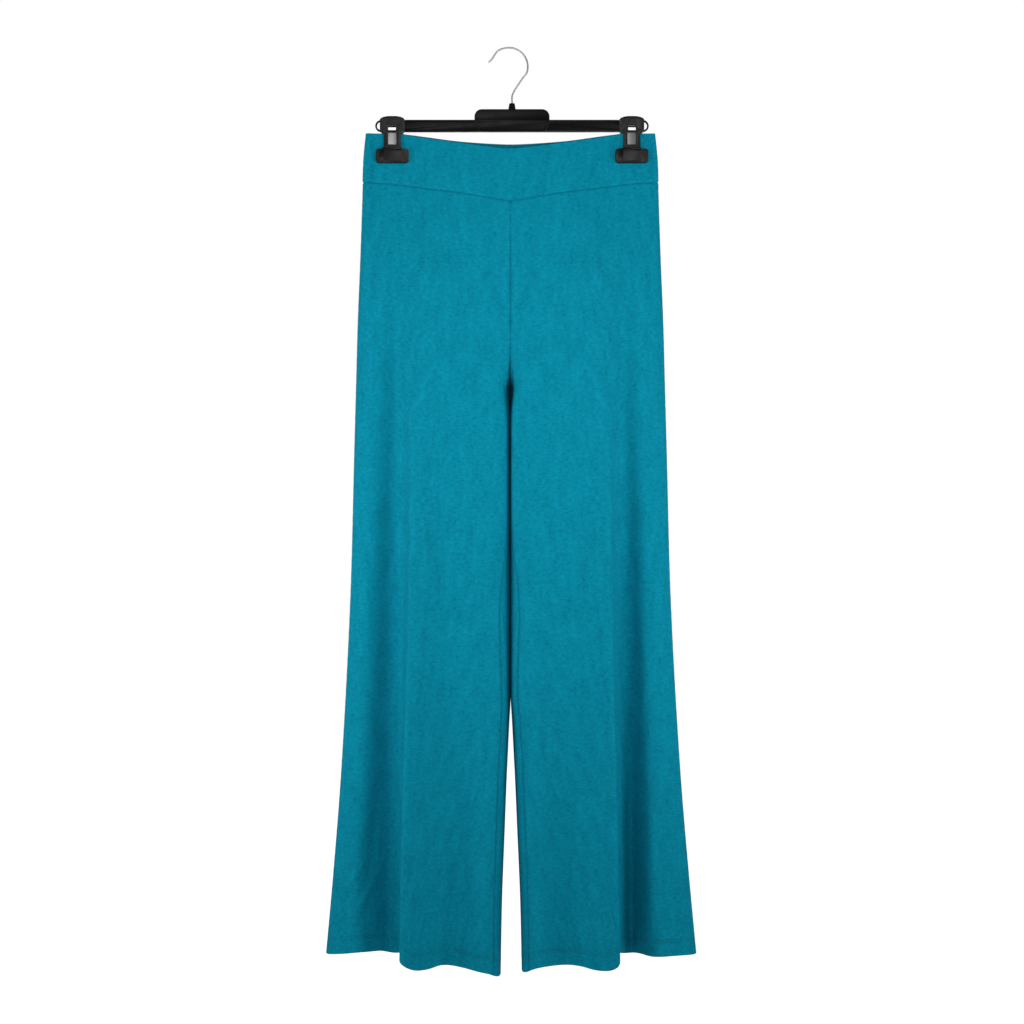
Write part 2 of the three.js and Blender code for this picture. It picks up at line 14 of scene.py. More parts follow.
import bmesh
import bpy
import numpy as np
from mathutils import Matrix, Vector


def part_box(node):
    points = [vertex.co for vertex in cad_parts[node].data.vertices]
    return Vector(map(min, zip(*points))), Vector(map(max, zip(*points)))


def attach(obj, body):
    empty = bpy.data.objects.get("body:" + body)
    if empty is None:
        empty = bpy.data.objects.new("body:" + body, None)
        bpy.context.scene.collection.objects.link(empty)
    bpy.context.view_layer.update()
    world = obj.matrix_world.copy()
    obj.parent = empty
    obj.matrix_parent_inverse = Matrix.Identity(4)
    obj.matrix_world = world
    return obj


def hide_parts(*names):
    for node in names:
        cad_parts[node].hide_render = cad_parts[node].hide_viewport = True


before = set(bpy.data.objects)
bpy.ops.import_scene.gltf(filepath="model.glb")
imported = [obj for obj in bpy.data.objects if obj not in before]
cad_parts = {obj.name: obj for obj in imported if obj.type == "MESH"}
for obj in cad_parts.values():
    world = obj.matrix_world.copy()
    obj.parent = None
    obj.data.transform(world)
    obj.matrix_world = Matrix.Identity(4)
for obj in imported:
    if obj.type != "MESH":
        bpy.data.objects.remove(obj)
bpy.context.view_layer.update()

LOG = logging.getLogger("trousers")
MM = 0.001
DETAIL = 1.0
ROW_SAMPLES = 501  # fine points of a row, from which the cloth's own points are read

Outline = list[tuple[float, float]]
Piece = bpy.types.Object
Socket = bpy.types.NodeSocket

# ---------------------------------------------------------------- driving dimensions, in millimetres

LEG_CLOTH = 1.2
BAND_CLOTH = 2.0
PLY_HALF = 1.15  # from the middle plane to a band that is held against the other

CENTRE = -1.9
TOP_Z = -109.0
SEAM_Z = -171.3
FORK_TOP_Z = -352.0
CROTCH_Z = -409.0
HEM_Z = -1157.8
HEM_TURN = 21.0  # depth of the turned and coverstitched hem
STITCH_GAP = 3.2  # between the two rows of stitches
BORDER_STEPS = np.array([0, 0.3, 0.6, 0.95, 1.35, 1.8, 2.4, 3.2, 4.4, 6.0, 7.5])  # close steps at an edge
BAR_TOP_Z = -91.8
CLIP_X = 152.9
JAW_WIDTH = 42.0
JAW_BOTTOM_Z = -147.5
GRIP_MARGIN = 1.0
SAG_REACH = 141.0
SEAM_POINT_REACH = 157.0
INSEAM_TURN = 37.0  # how far to the front the inseam lies on the lower leg
INSEAM_DROP = 330.0  # below the crotch, where it gets there
THROUGH = 14.0  # deeper than any jaw, for cutting right through it
BEYOND = 30.0  # wider than a jaw


class Side(Enum):
    """A side of the garment, with the sign of its axis."""

    @property
    def word(self) -> str:
        """The side's name, as it stands in the names of pieces."""
        return self.name.lower()


class Half(Side):
    """Which side of the wearer a piece is on, with the sign of its X."""

    LEFT = 1.0
    RIGHT = -1.0


class Face(Side):
    """Front or back of the garment, with the sign of its Y."""

    FRONT = -1.0
    BACK = 1.0


@dataclass(frozen=True)
class OuterRow:
    """Outer form at a side height: swing, half width, depths and how square the side is."""

    z: float
    swing: float
    half: float
    front: float
    back: float
    square: float


@dataclass(frozen=True)
class InnerRow:
    """Inner edge of a leg at a side height: its gap, rounding and the slant of the touching plane."""

    z: float
    gap: float
    corner: float
    slant: float


@dataclass(frozen=True)
class ForkRow:
    """How far the front panels part on each side of the centre at the fork, by side height."""

    z: float
    part: float


@dataclass(frozen=True)
class HemRow:
    """How far each leg's hem hangs below its side height, by share of the way in."""

    at: float
    left: float
    right: float


@dataclass(frozen=True)
class Sag:
    """Dip of an edge at the centre, with its power."""

    drop: float
    power: float


@dataclass(frozen=True)
class Fold:
    """A vertical fold.

    x and wide are (at the waist, at the hem), out is how far it stands out and lean how far it moves
    sideways. It grows from start, as a power of the way down, by its share on the left and right leg.
    """

    x: tuple[float, float]
    wide: tuple[float, float]
    out: float
    lean: float
    start: float
    power: float
    left: float
    right: float


@dataclass(frozen=True)
class Crease:
    """A soft crease between two points (x, z), with its half width, height and sideways bow."""

    top: tuple[float, float]
    foot: tuple[float, float]
    wide: float
    height: float
    bow: float = 0.0


OUTER_ROWS = [
    OuterRow(z=-109, swing=0, half=184.9, front=12, back=10, square=3.2),
    OuterRow(z=-143, swing=0, half=188, front=14, back=12, square=3.2),
    OuterRow(z=-190, swing=0, half=189.3, front=18, back=17, square=3.4),
    OuterRow(z=-270, swing=0, half=191.8, front=25, back=27, square=3.8),
    OuterRow(z=-352, swing=0, half=195, front=31, back=35, square=4),
    OuterRow(z=-424, swing=0, half=196.9, front=34, back=38, square=4),
    OuterRow(z=-520, swing=0, half=199.5, front=35, back=37, square=4),
    OuterRow(z=-680, swing=0, half=203.6, front=34, back=36, square=4),
    OuterRow(z=-810, swing=0.1, half=209.6, front=34, back=36, square=4),
    OuterRow(z=-940, swing=0.4, half=217.6, front=34, back=37, square=4),
    OuterRow(z=-1060, swing=0.7, half=227.4, front=34, back=38, square=4),
    OuterRow(z=HEM_Z, swing=0.9, half=236.4, front=34, back=39, square=4),
]
INNER_ROWS = [
    InnerRow(z=-109, gap=0, corner=9, slant=0),
    InnerRow(z=FORK_TOP_Z, gap=0, corner=9, slant=0),
    InnerRow(z=-388, gap=0, corner=6, slant=0.03),
    InnerRow(z=CROTCH_Z, gap=0, corner=4.4, slant=0.04),
    InnerRow(z=-422, gap=0.62, corner=3.2, slant=0.06),
    InnerRow(z=-440, gap=0.62, corner=2.4, slant=0.06),
    InnerRow(z=-462, gap=0.62, corner=1.8, slant=0.05),
    InnerRow(z=-580, gap=0.62, corner=2, slant=0.05),
    InnerRow(z=-660, gap=0.62, corner=6, slant=0.06),
    InnerRow(z=-740, gap=0.62, corner=4, slant=0.05),
    InnerRow(z=-803, gap=0.62, corner=3, slant=0.04),
    InnerRow(z=-843, gap=2.6, corner=3, slant=0),
    InnerRow(z=-906, gap=5.7, corner=3.5, slant=0),
    InnerRow(z=-970, gap=8.3, corner=3.5, slant=0),
    InnerRow(z=-1065, gap=12.1, corner=3.5, slant=0),
    InnerRow(z=HEM_Z, gap=14, corner=3.5, slant=0),
]
FORK_ROWS = [
    ForkRow(z=-407, part=0),
    ForkRow(z=-411, part=2.3),
    ForkRow(z=-417, part=2.6),
    ForkRow(z=-425, part=1.9),
    ForkRow(z=-434, part=0.9),
    ForkRow(z=-446, part=0.3),
    ForkRow(z=-462, part=0),
    ForkRow(z=-500, part=0),
]
HEM_ROWS = [
    HemRow(at=0, left=0, right=0),
    HemRow(at=0.1, left=-0.8, right=-3),
    HemRow(at=0.2, left=-0.4, right=-5),
    HemRow(at=0.3, left=0.1, right=-3),
    HemRow(at=0.38, left=3.2, right=0.6),
    HemRow(at=0.47, left=-6.2, right=-3.6),
    HemRow(at=0.52, left=-3, right=-1.5),
    HemRow(at=0.56, left=3.5, right=4),
    HemRow(at=0.6, left=12.9, right=12.7),
    HemRow(at=0.63, left=14.6, right=13.6),
    HemRow(at=0.67, left=12, right=10.6),
    HemRow(at=0.76, left=10.6, right=13.2),
    HemRow(at=0.88, left=10.3, right=16.6),
    HemRow(at=0.94, left=13.5, right=19.5),
    HemRow(at=1, left=21.5, right=26.5),
]
TOP_SAG = {Face.FRONT: Sag(drop=21, power=1.3), Face.BACK: Sag(drop=12, power=1.5)}
SEAM_DROP = {Face.FRONT: 25.7, Face.BACK: 12.0}
FOLDS = {
    Face.FRONT: [
        Fold((142, 155), (15, 15.5), -55, 0, 0.02, 1.25, 1, 0),
        Fold((145, 157), (19, 26), -42, 0, 0.02, 0.8, 0, 1),
        Fold((115, 109), (13, 14), 25, 26, 0.18, 0.75, 1, 0),
        Fold((117, 112), (16, 16), 25, 26, 0.18, 0.75, 0, 1),
        Fold((84, 74), (20, 24), -15, 0, 0.3, 1.4, 0.9, 1),
        Fold((30, 36), (12, 16), 6, 0, 0.5, 1.3, 1, 1),
        Fold((118, 104), (9, 12), -3, 0, 0.04, 0.7, 1.4, 0.5),
    ],
    Face.BACK: [
        Fold((150, 176), (14, 22), 13, 0, 0.05, 1.2, 1, 1.1),
        Fold((112, 122), (14, 20), -30, -5, 0.12, 1.3, 1, 0.85),
        Fold((70, 74), (16, 19), 12, 6, 0.3, 1.3, 0.9, 1.1),
        Fold((30, 40), (12, 15), -12, 0, 0.4, 1.3, 1.1, 0.9),
    ],
}
CREASES = {
    (Half.RIGHT, Face.FRONT): [
        # dips beside the outer edges above the hems, and broad hollows on the inner legs
        Crease((-172, -940), (-190, -1140), 11, -3.2),
        Crease((-48, -780), (-62, -1175), 15, -4.0),
        # hollows down from the clips
        Crease((-134, -195), (-148, -560), 12, -3.2, 3),
        Crease((-139, -420), (-137, -960), 17, -3.6),
        # short drag lines beside the knees and above the hems
        Crease((-42, -790), (-80, -905), 3.2, 1.3, 3),
        Crease((-58, -868), (-98, -960), 3.0, 1.0, -3),
        Crease((-158, -1035), (-206, -1132), 4.2, 1.7, 4),
        Crease((-172, -1020), (-226, -1100), 3.6, 1.2, 3),
        Crease((-60, -1010), (-38, -1120), 4.0, 1.3, -3),
        Crease((-118, -560), (-96, -700), 5.0, 1.0, 2),
        Crease((-92, -1120), (-70, -1165), 4.0, 1.1, 1),
        # long soft lines below the clips and down the hips
        Crease((-114, -205), (-112, -390), 6.0, -0.9, 3),
        Crease((-138, -190), (-141, -420), 6.0, 1.0, 3),
        Crease((-170, -182), (-168, -300), 5.0, -1.1, -2),
        # light pull from the crotch
        Crease((-10, -404), (-70, -366), 4.0, 0.7, -2),
    ],
    (Half.LEFT, Face.FRONT): [
        # dips beside the outer edges above the hems, and broad hollows on the inner legs
        Crease((188, -950), (196, -1150), 13, -2.8),
        Crease((46, -760), (58, -1170), 15, -4.0),
        # hollows down from the clips
        Crease((150, -195), (142, -560), 12, -3.2, 3),
        Crease((150, -450), (146, -960), 17, -2.6),
        # short drag lines beside the knees and above the hems
        Crease((30, -790), (12, -900), 3.2, 1.2, 2),
        Crease((72, -862), (40, -965), 3.4, 1.4, 5),
        Crease((62, -930), (34, -1010), 3.0, 1.0, 3),
        Crease((40, -1030), (66, -1135), 4.2, 1.3, 3),
        Crease((196, -1010), (214, -1120), 4.6, 1.4, -3),
        Crease((100, -600), (86, -760), 5.5, 0.9, 3),
        # long soft lines below the clips and down the hips
        Crease((124, -196), (104, -440), 5.5, -1.3, 4),
        Crease((134, -200), (118, -430), 6.0, 1.1, 4),
        Crease((167, -182), (164, -330), 5.0, -1.2, 2),
        # light pull from the crotch
        Crease((6, -404), (64, -372), 4.0, 0.8, 2),
    ],
    (Half.LEFT, Face.BACK): [
        Crease((132, -196), (110, -440), 6.0, -1.3, 4),
        Crease((8, -412), (74, -356), 5.0, 1.4, 3),
        Crease((34, -800), (70, -915), 3.6, 1.3, 3),
        Crease((150, -1000), (198, -1120), 4.4, 1.5, 4),
        Crease((90, -600), (72, -770), 5.5, 1.0, 3),
    ],
    (Half.RIGHT, Face.BACK): [
        Crease((-120, -200), (-104, -410), 6.0, -1.2, -4),
        Crease((-12, -412), (-82, -350), 5.0, 1.2, -3),
        Crease((-36, -820), (-60, -930), 3.4, 1.1, -3),
        Crease((-150, -1020), (-192, -1130), 4.2, 1.4, 3),
        Crease((-96, -620), (-84, -790), 5.5, 1.0, 2),
    ],
}

# ---------------------------------------------------------------- small numeric helpers


def clamp01(value: np.ndarray) -> np.ndarray:
    """Limits values to 0..1."""
    return np.clip(value, 0.0, 1.0)


def smooth(value: np.ndarray) -> np.ndarray:
    """Eases from 0 to 1 with level ends: 3t^2 - 2t^3."""
    t = clamp01(value)
    return t * t * (3 - 2 * t)


def mix(a: np.ndarray, b: np.ndarray, t: np.ndarray) -> np.ndarray:
    """Blends two values."""
    return a + (b - a) * t


def bell(distance: np.ndarray, reach: float) -> np.ndarray:
    """A soft bump, exp(-(d / reach)^2)."""
    return np.exp(-((distance / reach) ** 2))


@dataclass(frozen=True)
class Profile:
    """Rows of named values, read by a cubic whose slopes are those between each row's neighbours."""

    rows: Sequence[object]
    key: str

    def read(self, name: str, where: np.ndarray) -> np.ndarray:
        """Reads one column.

        Args:
            name: the column's name.
            where: places to read it at, on the key column's scale.

        Returns:
            The column's values at those places.
        """
        keys = np.array([getattr(row, self.key) for row in self.rows], float)
        values = np.array([getattr(row, name) for row in self.rows], float)
        order = np.argsort(keys)
        keys, values = keys[order], values[order]
        before = np.maximum(np.arange(len(keys)) - 1, 0)
        after = np.minimum(np.arange(len(keys)) + 1, len(keys) - 1)
        slopes = (values[after] - values[before]) / (keys[after] - keys[before])
        i = np.clip(np.searchsorted(keys, where, side="right") - 1, 0, len(keys) - 2)
        step = keys[i + 1] - keys[i]
        t = clamp01((where - keys[i]) / step)
        ends = values[i] * (1 + 2 * t) * (1 - t) ** 2 + values[i + 1] * t * t * (3 - 2 * t)
        return ends + step * (slopes[i] * t * (1 - t) ** 2 - slopes[i + 1] * t * t * (1 - t))


# ---------------------------------------------------------------- the garment's form


@dataclass(frozen=True)
class TrouserForm:
    """The middle surface of the cloth, as hung.

    A point is placed by half, face, side height (its height where the row meets the side seam) and
    share of the way from the side seam (0) to the inner edge (1).
    """

    outer: Profile = Profile(OUTER_ROWS, "z")
    inner: Profile = Profile(INNER_ROWS, "z")
    fork: Profile = Profile(FORK_ROWS, "z")
    hem: Profile = Profile(HEM_ROWS, "at")
    side_power: float = 80.0  # how close to the side fold the two faces meet
    inner_power: float = 0.7  # how square the inner edge is, over its rounding
    point_round: float = 0.02  # rounding of the waist seam's point
    slant_reach: float = 40.0
    part_reach: float = 8.0
    part_depth: float = 20.0
    grip_across: float = 70.0  # over these lengths a clip's hold fades
    grip_outside: float = 10.0
    grip_down: float = 150.0
    outside_loss: float = 0.85  # share of the hold that is lost outside a clip

    def seam_sag(self, face: Face, x: np.ndarray) -> np.ndarray:
        """Dip of the waist seam: a point whose sides turn level towards the side seams."""
        inside = 1 - x / SEAM_POINT_REACH
        return SEAM_DROP[face] * (inside + np.sqrt(inside * inside + self.point_round)) / 2

    def sag(
        self, half: Half, face: Face, level: np.ndarray, x: np.ndarray, share: np.ndarray
    ) -> np.ndarray:
        """How far a point hangs below its side height, blended between top edge, waist seam and hem.

        Args:
            half: left or right.
            face: front or back.
            level: side height.
            x: distance from the centre line.
            share: share of the way in.

        Returns:
            The drop.
        """
        top = TOP_SAG[face]
        top_drop = top.drop * (1 - np.minimum(1, x / SAG_REACH) ** top.power)
        band = mix(self.seam_sag(face, x), top_drop, (level - SEAM_Z) / (TOP_Z - SEAM_Z))
        fallen = (SEAM_Z - level) / (SEAM_Z - HEM_Z)
        hem = self.hem.read("left" if half is Half.LEFT else "right", share)
        leg = mix(self.seam_sag(Face.FRONT, x), hem, fallen)
        own = self.seam_sag(face, x) - self.seam_sag(Face.FRONT, x)
        leg = leg + own * (1 - smooth((SEAM_Z - level) / (SEAM_Z - FORK_TOP_Z)))
        return np.where(level > SEAM_Z, band, leg)

    def grip(self, x: np.ndarray, level: np.ndarray) -> np.ndarray:
        """1 where a clip holds both faces together, easing to 0 around and below it.

        Args:
            x: distance from the hook's plane.
            level: side height.

        Returns:
            The hold's strength.
        """
        margin = 1.5 * GRIP_MARGIN
        past = np.abs(x - CLIP_X) - JAW_WIDTH / 2 - margin
        outside = self.outside_loss * smooth(past / self.grip_outside)
        loosened = np.where(x > CLIP_X, outside, smooth(past / self.grip_across))
        return (1 - loosened) * (1 - smooth((JAW_BOTTOM_Z - margin - level) / self.grip_down))

    def points(self, half: Half, face: Face, level: np.ndarray, share: np.ndarray) -> np.ndarray:
        """Places points of the middle surface.

        The plan of a row is a closed curve: |y| rises from the side fold as sqrt(1 - (1 - a)^square)
        and, below the fork, falls again to the inner edge as sqrt(1 - turned a^n). Folds are bell
        shapes added to the depth, and lean moves them sideways.

        Args:
            half: left or right.
            face: front or back.
            level: side heights, shape (rows, 1).
            share: shares of the way in, shape (1, columns).

        Returns:
            Points of shape (rows, columns, 3).
        """
        gap = np.maximum(0, self.inner.read("gap", level))
        width = self.outer.read("half", level) - gap
        x = gap + width * (1 - share)
        turned = clamp01((FORK_TOP_Z - level) / (FORK_TOP_Z - CROTCH_Z)) ** 2
        rise = np.sqrt(1 - (1 - share) ** self.outer.read("square", level))
        power = self.inner_power * width / self.inner.read("corner", level)
        fall = np.sqrt(np.maximum(0, 1 - turned * share**power))
        ends = np.sqrt(1 - (1 - share) ** self.side_power) * fall
        down = clamp01((SEAM_Z - level) / (SEAM_Z - HEM_Z))
        column = "front" if face is Face.FRONT else "back"
        depth = self.outer.read(column, level) + 0 * x
        lean = 0 * x
        for fold in FOLDS[face]:
            grown = clamp01((down - fold.start) / (1 - fold.start)) ** fold.power
            off = (x - mix(*fold.x, down)) / mix(*fold.wide, down)
            bump = grown * np.exp(-off * off) * (fold.left if half is Half.LEFT else fold.right)
            depth = depth + fold.out * bump
            lean = lean + fold.lean * bump
        centre = CENTRE + self.outer.read("swing", level)
        free = 1 - self.grip(np.abs(centre + half.value * x), level)
        y = face.value * (PLY_HALF * ends + depth * rise * fall * free)
        slanted = self.inner.read("slant", level) * y * bell(x, self.slant_reach)
        parted = np.maximum(0, self.fork.read("part", level)) * bell(x, self.part_reach)
        parted = parted * smooth(-y / self.part_depth)
        placed = centre + half.value * (x + parted + lean * rise * fall) + slanted
        return np.stack([placed, y, level - self.sag(half, face, level, x, share)], axis=-1)

    def rows(self, half: Half, face: Face, levels: np.ndarray) -> tuple[np.ndarray, np.ndarray]:
        """Close points along rows, with the length along the cloth to each.

        Args:
            half: left or right.
            face: front or back.
            levels: side heights of the rows.

        Returns:
            Points (rows, samples, 3) and lengths (rows, samples).
        """
        share = (1 - np.cos(np.linspace(0, np.pi, ROW_SAMPLES))) / 2
        points = self.points(half, face, levels[:, None], share[None, :])
        return points, lengths_along(points)


def lengths_along(points: np.ndarray) -> np.ndarray:
    """Length along each row of points, from its first point."""
    steps = np.linalg.norm(np.diff(points, axis=1), axis=2)
    return np.concatenate([np.zeros((len(points), 1)), np.cumsum(steps, axis=1)], axis=1)


def sample(points: np.ndarray, lengths: np.ndarray, stops: np.ndarray) -> np.ndarray:
    """Points at given lengths along rows.

    Args:
        points: (rows, n, 3).
        lengths: (rows, n), rising.
        stops: (rows, m) lengths to sample at.

    Returns:
        Points (rows, m, 3).
    """
    rows = [
        np.stack([np.interp(s, l, p[:, k]) for k in range(3)], axis=-1)
        for p, l, s in zip(points, lengths, stops)
    ]
    return np.array(rows)


def inseam_turn(levels: np.ndarray) -> np.ndarray:
    """How far round to the front of the leg's inner edge the inseam lies, along the cloth."""
    return INSEAM_TURN * smooth((CROTCH_Z - levels) / INSEAM_DROP)


# ---------------------------------------------------------------- meshes


def link_object(name: str, data: bpy.types.ID) -> Piece:
    """Puts a mesh, a light or a camera into the scene.

    Args:
        name: the object's name.
        data: what it shows.

    Returns:
        The object.
    """
    made = bpy.data.objects.new(name, data)
    bpy.context.scene.collection.objects.link(made)
    return made


def new_object(
    name: str, vertices: np.ndarray, quads: np.ndarray, uv: np.ndarray | None = None
) -> Piece:
    """Makes a smooth-shaded mesh object from whole arrays.

    Args:
        name: the object's name.
        vertices: (n, 3), in metres.
        quads: (m, 4) corner numbers.
        uv: (n, 2) coordinates of the vertices, in metres, or None.

    Returns:
        The object, linked to the scene.
    """
    mesh = bpy.data.meshes.new(name)
    mesh.vertices.add(len(vertices))
    mesh.vertices.foreach_set("co", np.asarray(vertices, np.float32).ravel())
    mesh.loops.add(quads.size)
    mesh.loops.foreach_set("vertex_index", quads.astype(np.int32).ravel())
    mesh.polygons.add(len(quads))
    mesh.polygons.foreach_set("loop_start", np.arange(0, quads.size, 4, dtype=np.int32))
    mesh.update(calc_edges=True)
    mesh.polygons.foreach_set("use_smooth", np.ones(len(quads), bool))
    if uv is not None:
        layer = mesh.uv_layers.new(name="cloth")
        layer.data.foreach_set("uv", np.asarray(uv, np.float32)[quads.ravel()].ravel())
    mesh.validate()
    return link_object(name, mesh)


def grid_quads(rows: int, columns: int, first: int = 0, flip: bool = False) -> np.ndarray:
    """Faces of a grid of vertices stored row by row.

    Args:
        rows: number of rows.
        columns: number of columns.
        first: number of the first vertex.
        flip: True to turn the faces over.

    Returns:
        (faces, 4) corner numbers.
    """
    k = first + np.arange(rows * columns).reshape(rows, columns)
    quads = np.stack([k[:-1, :-1], k[1:, :-1], k[1:, 1:], k[:-1, 1:]], axis=-1).reshape(-1, 4)
    return quads[:, ::-1] if flip else quads


def tube_quads(rings: int, sides: int, flip: bool = False) -> np.ndarray:
    """Faces of a tube whose vertices are stored ring by ring.

    Args:
        rings: number of rings.
        sides: vertices of a ring.
        flip: True to turn the faces over.

    Returns:
        (faces, 4) corner numbers.
    """
    ids = np.arange(rings * sides).reshape(rings, sides)
    beside = np.roll(ids, -1, axis=1)
    quads = np.stack([ids[:-1], ids[1:], beside[1:], beside[:-1]], axis=-1).reshape(-1, 4)
    return quads[:, [0, 3, 2, 1]] if flip else quads


def strip_quads(a: np.ndarray, b: np.ndarray, flip: bool) -> np.ndarray:
    """Faces between two equal lines of vertices."""
    quads = np.stack([a[:-1], a[1:], b[1:], b[:-1]], axis=-1)
    return quads[:, ::-1] if flip else quads


def border_stops(total: np.ndarray, count: int) -> np.ndarray:
    """Stops along rows: close at both borders and even between them.

    Args:
        total: (rows,) lengths of the rows.
        count: number of even steps between the borders.

    Returns:
        (rows, columns) lengths.
    """
    near = BORDER_STEPS
    between = np.arange(1, count) / count
    middle = near[-1] + between * (total[:, None] - 2 * near[-1])
    start = np.broadcast_to(near, (len(total), len(near)))
    return np.concatenate([start, middle, total[:, None] - start[:, ::-1]], axis=1)


@dataclass
class ClothSheet:
    """A panel of cloth as two skins on one middle surface, closed round its border.

    middle: (rows, columns, 3), in millimetres; across and down: lengths along the cloth for the weave.
    """

    name: str
    middle: np.ndarray
    across: np.ndarray
    down: np.ndarray
    toward: float

    def directions(self) -> np.ndarray:
        """Unit directions that point out of the garment.

        Returns:
            (rows, columns, 3).
        """
        along = np.gradient(self.middle, axis=1)
        below = np.gradient(self.middle, axis=0)
        out = np.cross(along, below)
        out /= np.maximum(np.linalg.norm(out, axis=2, keepdims=True), 1e-9)
        mid = out[len(out) // 3, out.shape[1] // 3, 1]
        return out if mid * self.toward > 0 else -out

    def build(
        self,
        outer: np.ndarray,
        inner: np.ndarray,
        painted_shade: np.ndarray,
        limit: Callable[[np.ndarray], np.ndarray] = lambda points: points,
    ) -> Piece:
        """Makes the panel.

        Args:
            outer: (rows, columns) distance of the outer skin from the middle surface.
            inner: (rows, columns) distance of the inner skin, negative inwards.
            painted_shade: (rows, columns) how far painted shade darkens the cloth's colour at its seams and
                fork, 0 to 1.
            limit: keeps points on the panel's own side of its seams.

        Returns:
            The mesh object.
        """
        out = self.directions()
        skins = [limit(self.middle + out * d[..., None]).reshape(-1, 3) for d in (outer, inner)]
        rows, columns = self.across.shape
        size = rows * columns
        numbers = np.arange(size).reshape(rows, columns)
        along = np.gradient(self.middle, axis=1)
        below = np.gradient(self.middle, axis=0)
        natural = np.cross(below, along)
        flip = float(np.sum(natural * out)) < 0
        quads = [grid_quads(rows, columns, 0, flip), grid_quads(rows, columns, size, not flip)]
        borders = [(numbers[0], True), (numbers[-1], False), (numbers[:, 0], False), (numbers[:, -1], True)]
        for line, turned in borders:
            quads.append(strip_quads(line, line + size, turned != flip))
        uv = np.stack([self.across, self.down], axis=-1).reshape(-1, 2) * MM
        made = new_object(self.name, np.concatenate(skins) * MM, np.concatenate(quads), np.tile(uv, (2, 1)))
        # painted shade: an attribute by which the material darkens the cloth's colour at seams and the fork
        layer = made.data.attributes.new("painted_shade", "FLOAT", "POINT")
        layer.data.foreach_set("value", np.tile(np.float32(painted_shade).ravel(), 2))
        return made


def rounded_edge(distance: np.ndarray, radius: float) -> np.ndarray:
    """Share of the cloth's thickness beside a folded edge: a quarter circle from 0 to 1."""
    return np.sqrt(1 - (1 - clamp01(distance / radius)) ** 2)


def puckers(place: np.ndarray, distance: np.ndarray, seed: float) -> np.ndarray:
    """Little waves that a seam draws into the cloth beside it."""
    waves = np.sin(place / 1.15 + 1.7 * np.sin(place / 7.3 + seed)) + 0.6 * np.sin(place / 2.9 + seed)
    return 0.09 * waves * bell(distance, 4.5)


def seam_groove(distance: np.ndarray, depth: float) -> np.ndarray:
    """How far the outer skin rolls in towards a seam."""
    return depth * bell(distance, 1.0) - 0.16 * bell(distance - 3.4, 1.3)


def seam_allowance(distance: np.ndarray) -> np.ndarray:
    """Thickness of the overlocked edge that lies inside along a seam."""
    return 1.0 * smooth((distance - 0.3) / 1.2) * (1 - smooth((distance - 5.2) / 1.4))


def roll_seams(
    outer: np.ndarray, seams: Sequence[tuple[np.ndarray, np.ndarray]], depth: float, seed: float
) -> np.ndarray:
    """Rolls the outer skin in at seams and puckers it beside them.

    Args:
        outer: heights of the skin.
        seams: for each seam, the distance from it and the length along it.
        depth: how deep it rolls in.
        seed: shifts the puckers.

    Returns:
        The new heights.
    """
    for distance, place in seams:
        outer = outer - seam_groove(distance, depth) + puckers(place, distance, seed)
    return outer


def creases_on(points: np.ndarray, half: Half, face: Face) -> np.ndarray:
    """Height of the listed creases at points of a panel.

    Args:
        points: (rows, columns, 3), in millimetres.
        half: left or right.
        face: front or back.

    Returns:
        (rows, columns) heights.
    """
    height = np.zeros(points.shape[:2])
    for crease in CREASES[half, face]:
        top, foot = np.array(crease.top), np.array(crease.foot)
        length = np.linalg.norm(foot - top)
        along = (foot - top) / length
        offset = points[..., [0, 2]] - top
        t = (offset @ along) / length
        side = offset @ np.array([along[1], -along[0]]) - crease.bow * np.sin(np.pi * clamp01(t))
        taper = np.where((t > 0) & (t < 1), np.sin(np.pi * clamp01(t)) ** 1.2, 0)
        height += crease.height * taper * bell(side, crease.wide)
    on_face = smooth((np.abs(points[..., 1]) - 2) / 10) * (points[..., 1] * face.value > 0)
    return height * on_face


# ---------------------------------------------------------------- garment pieces


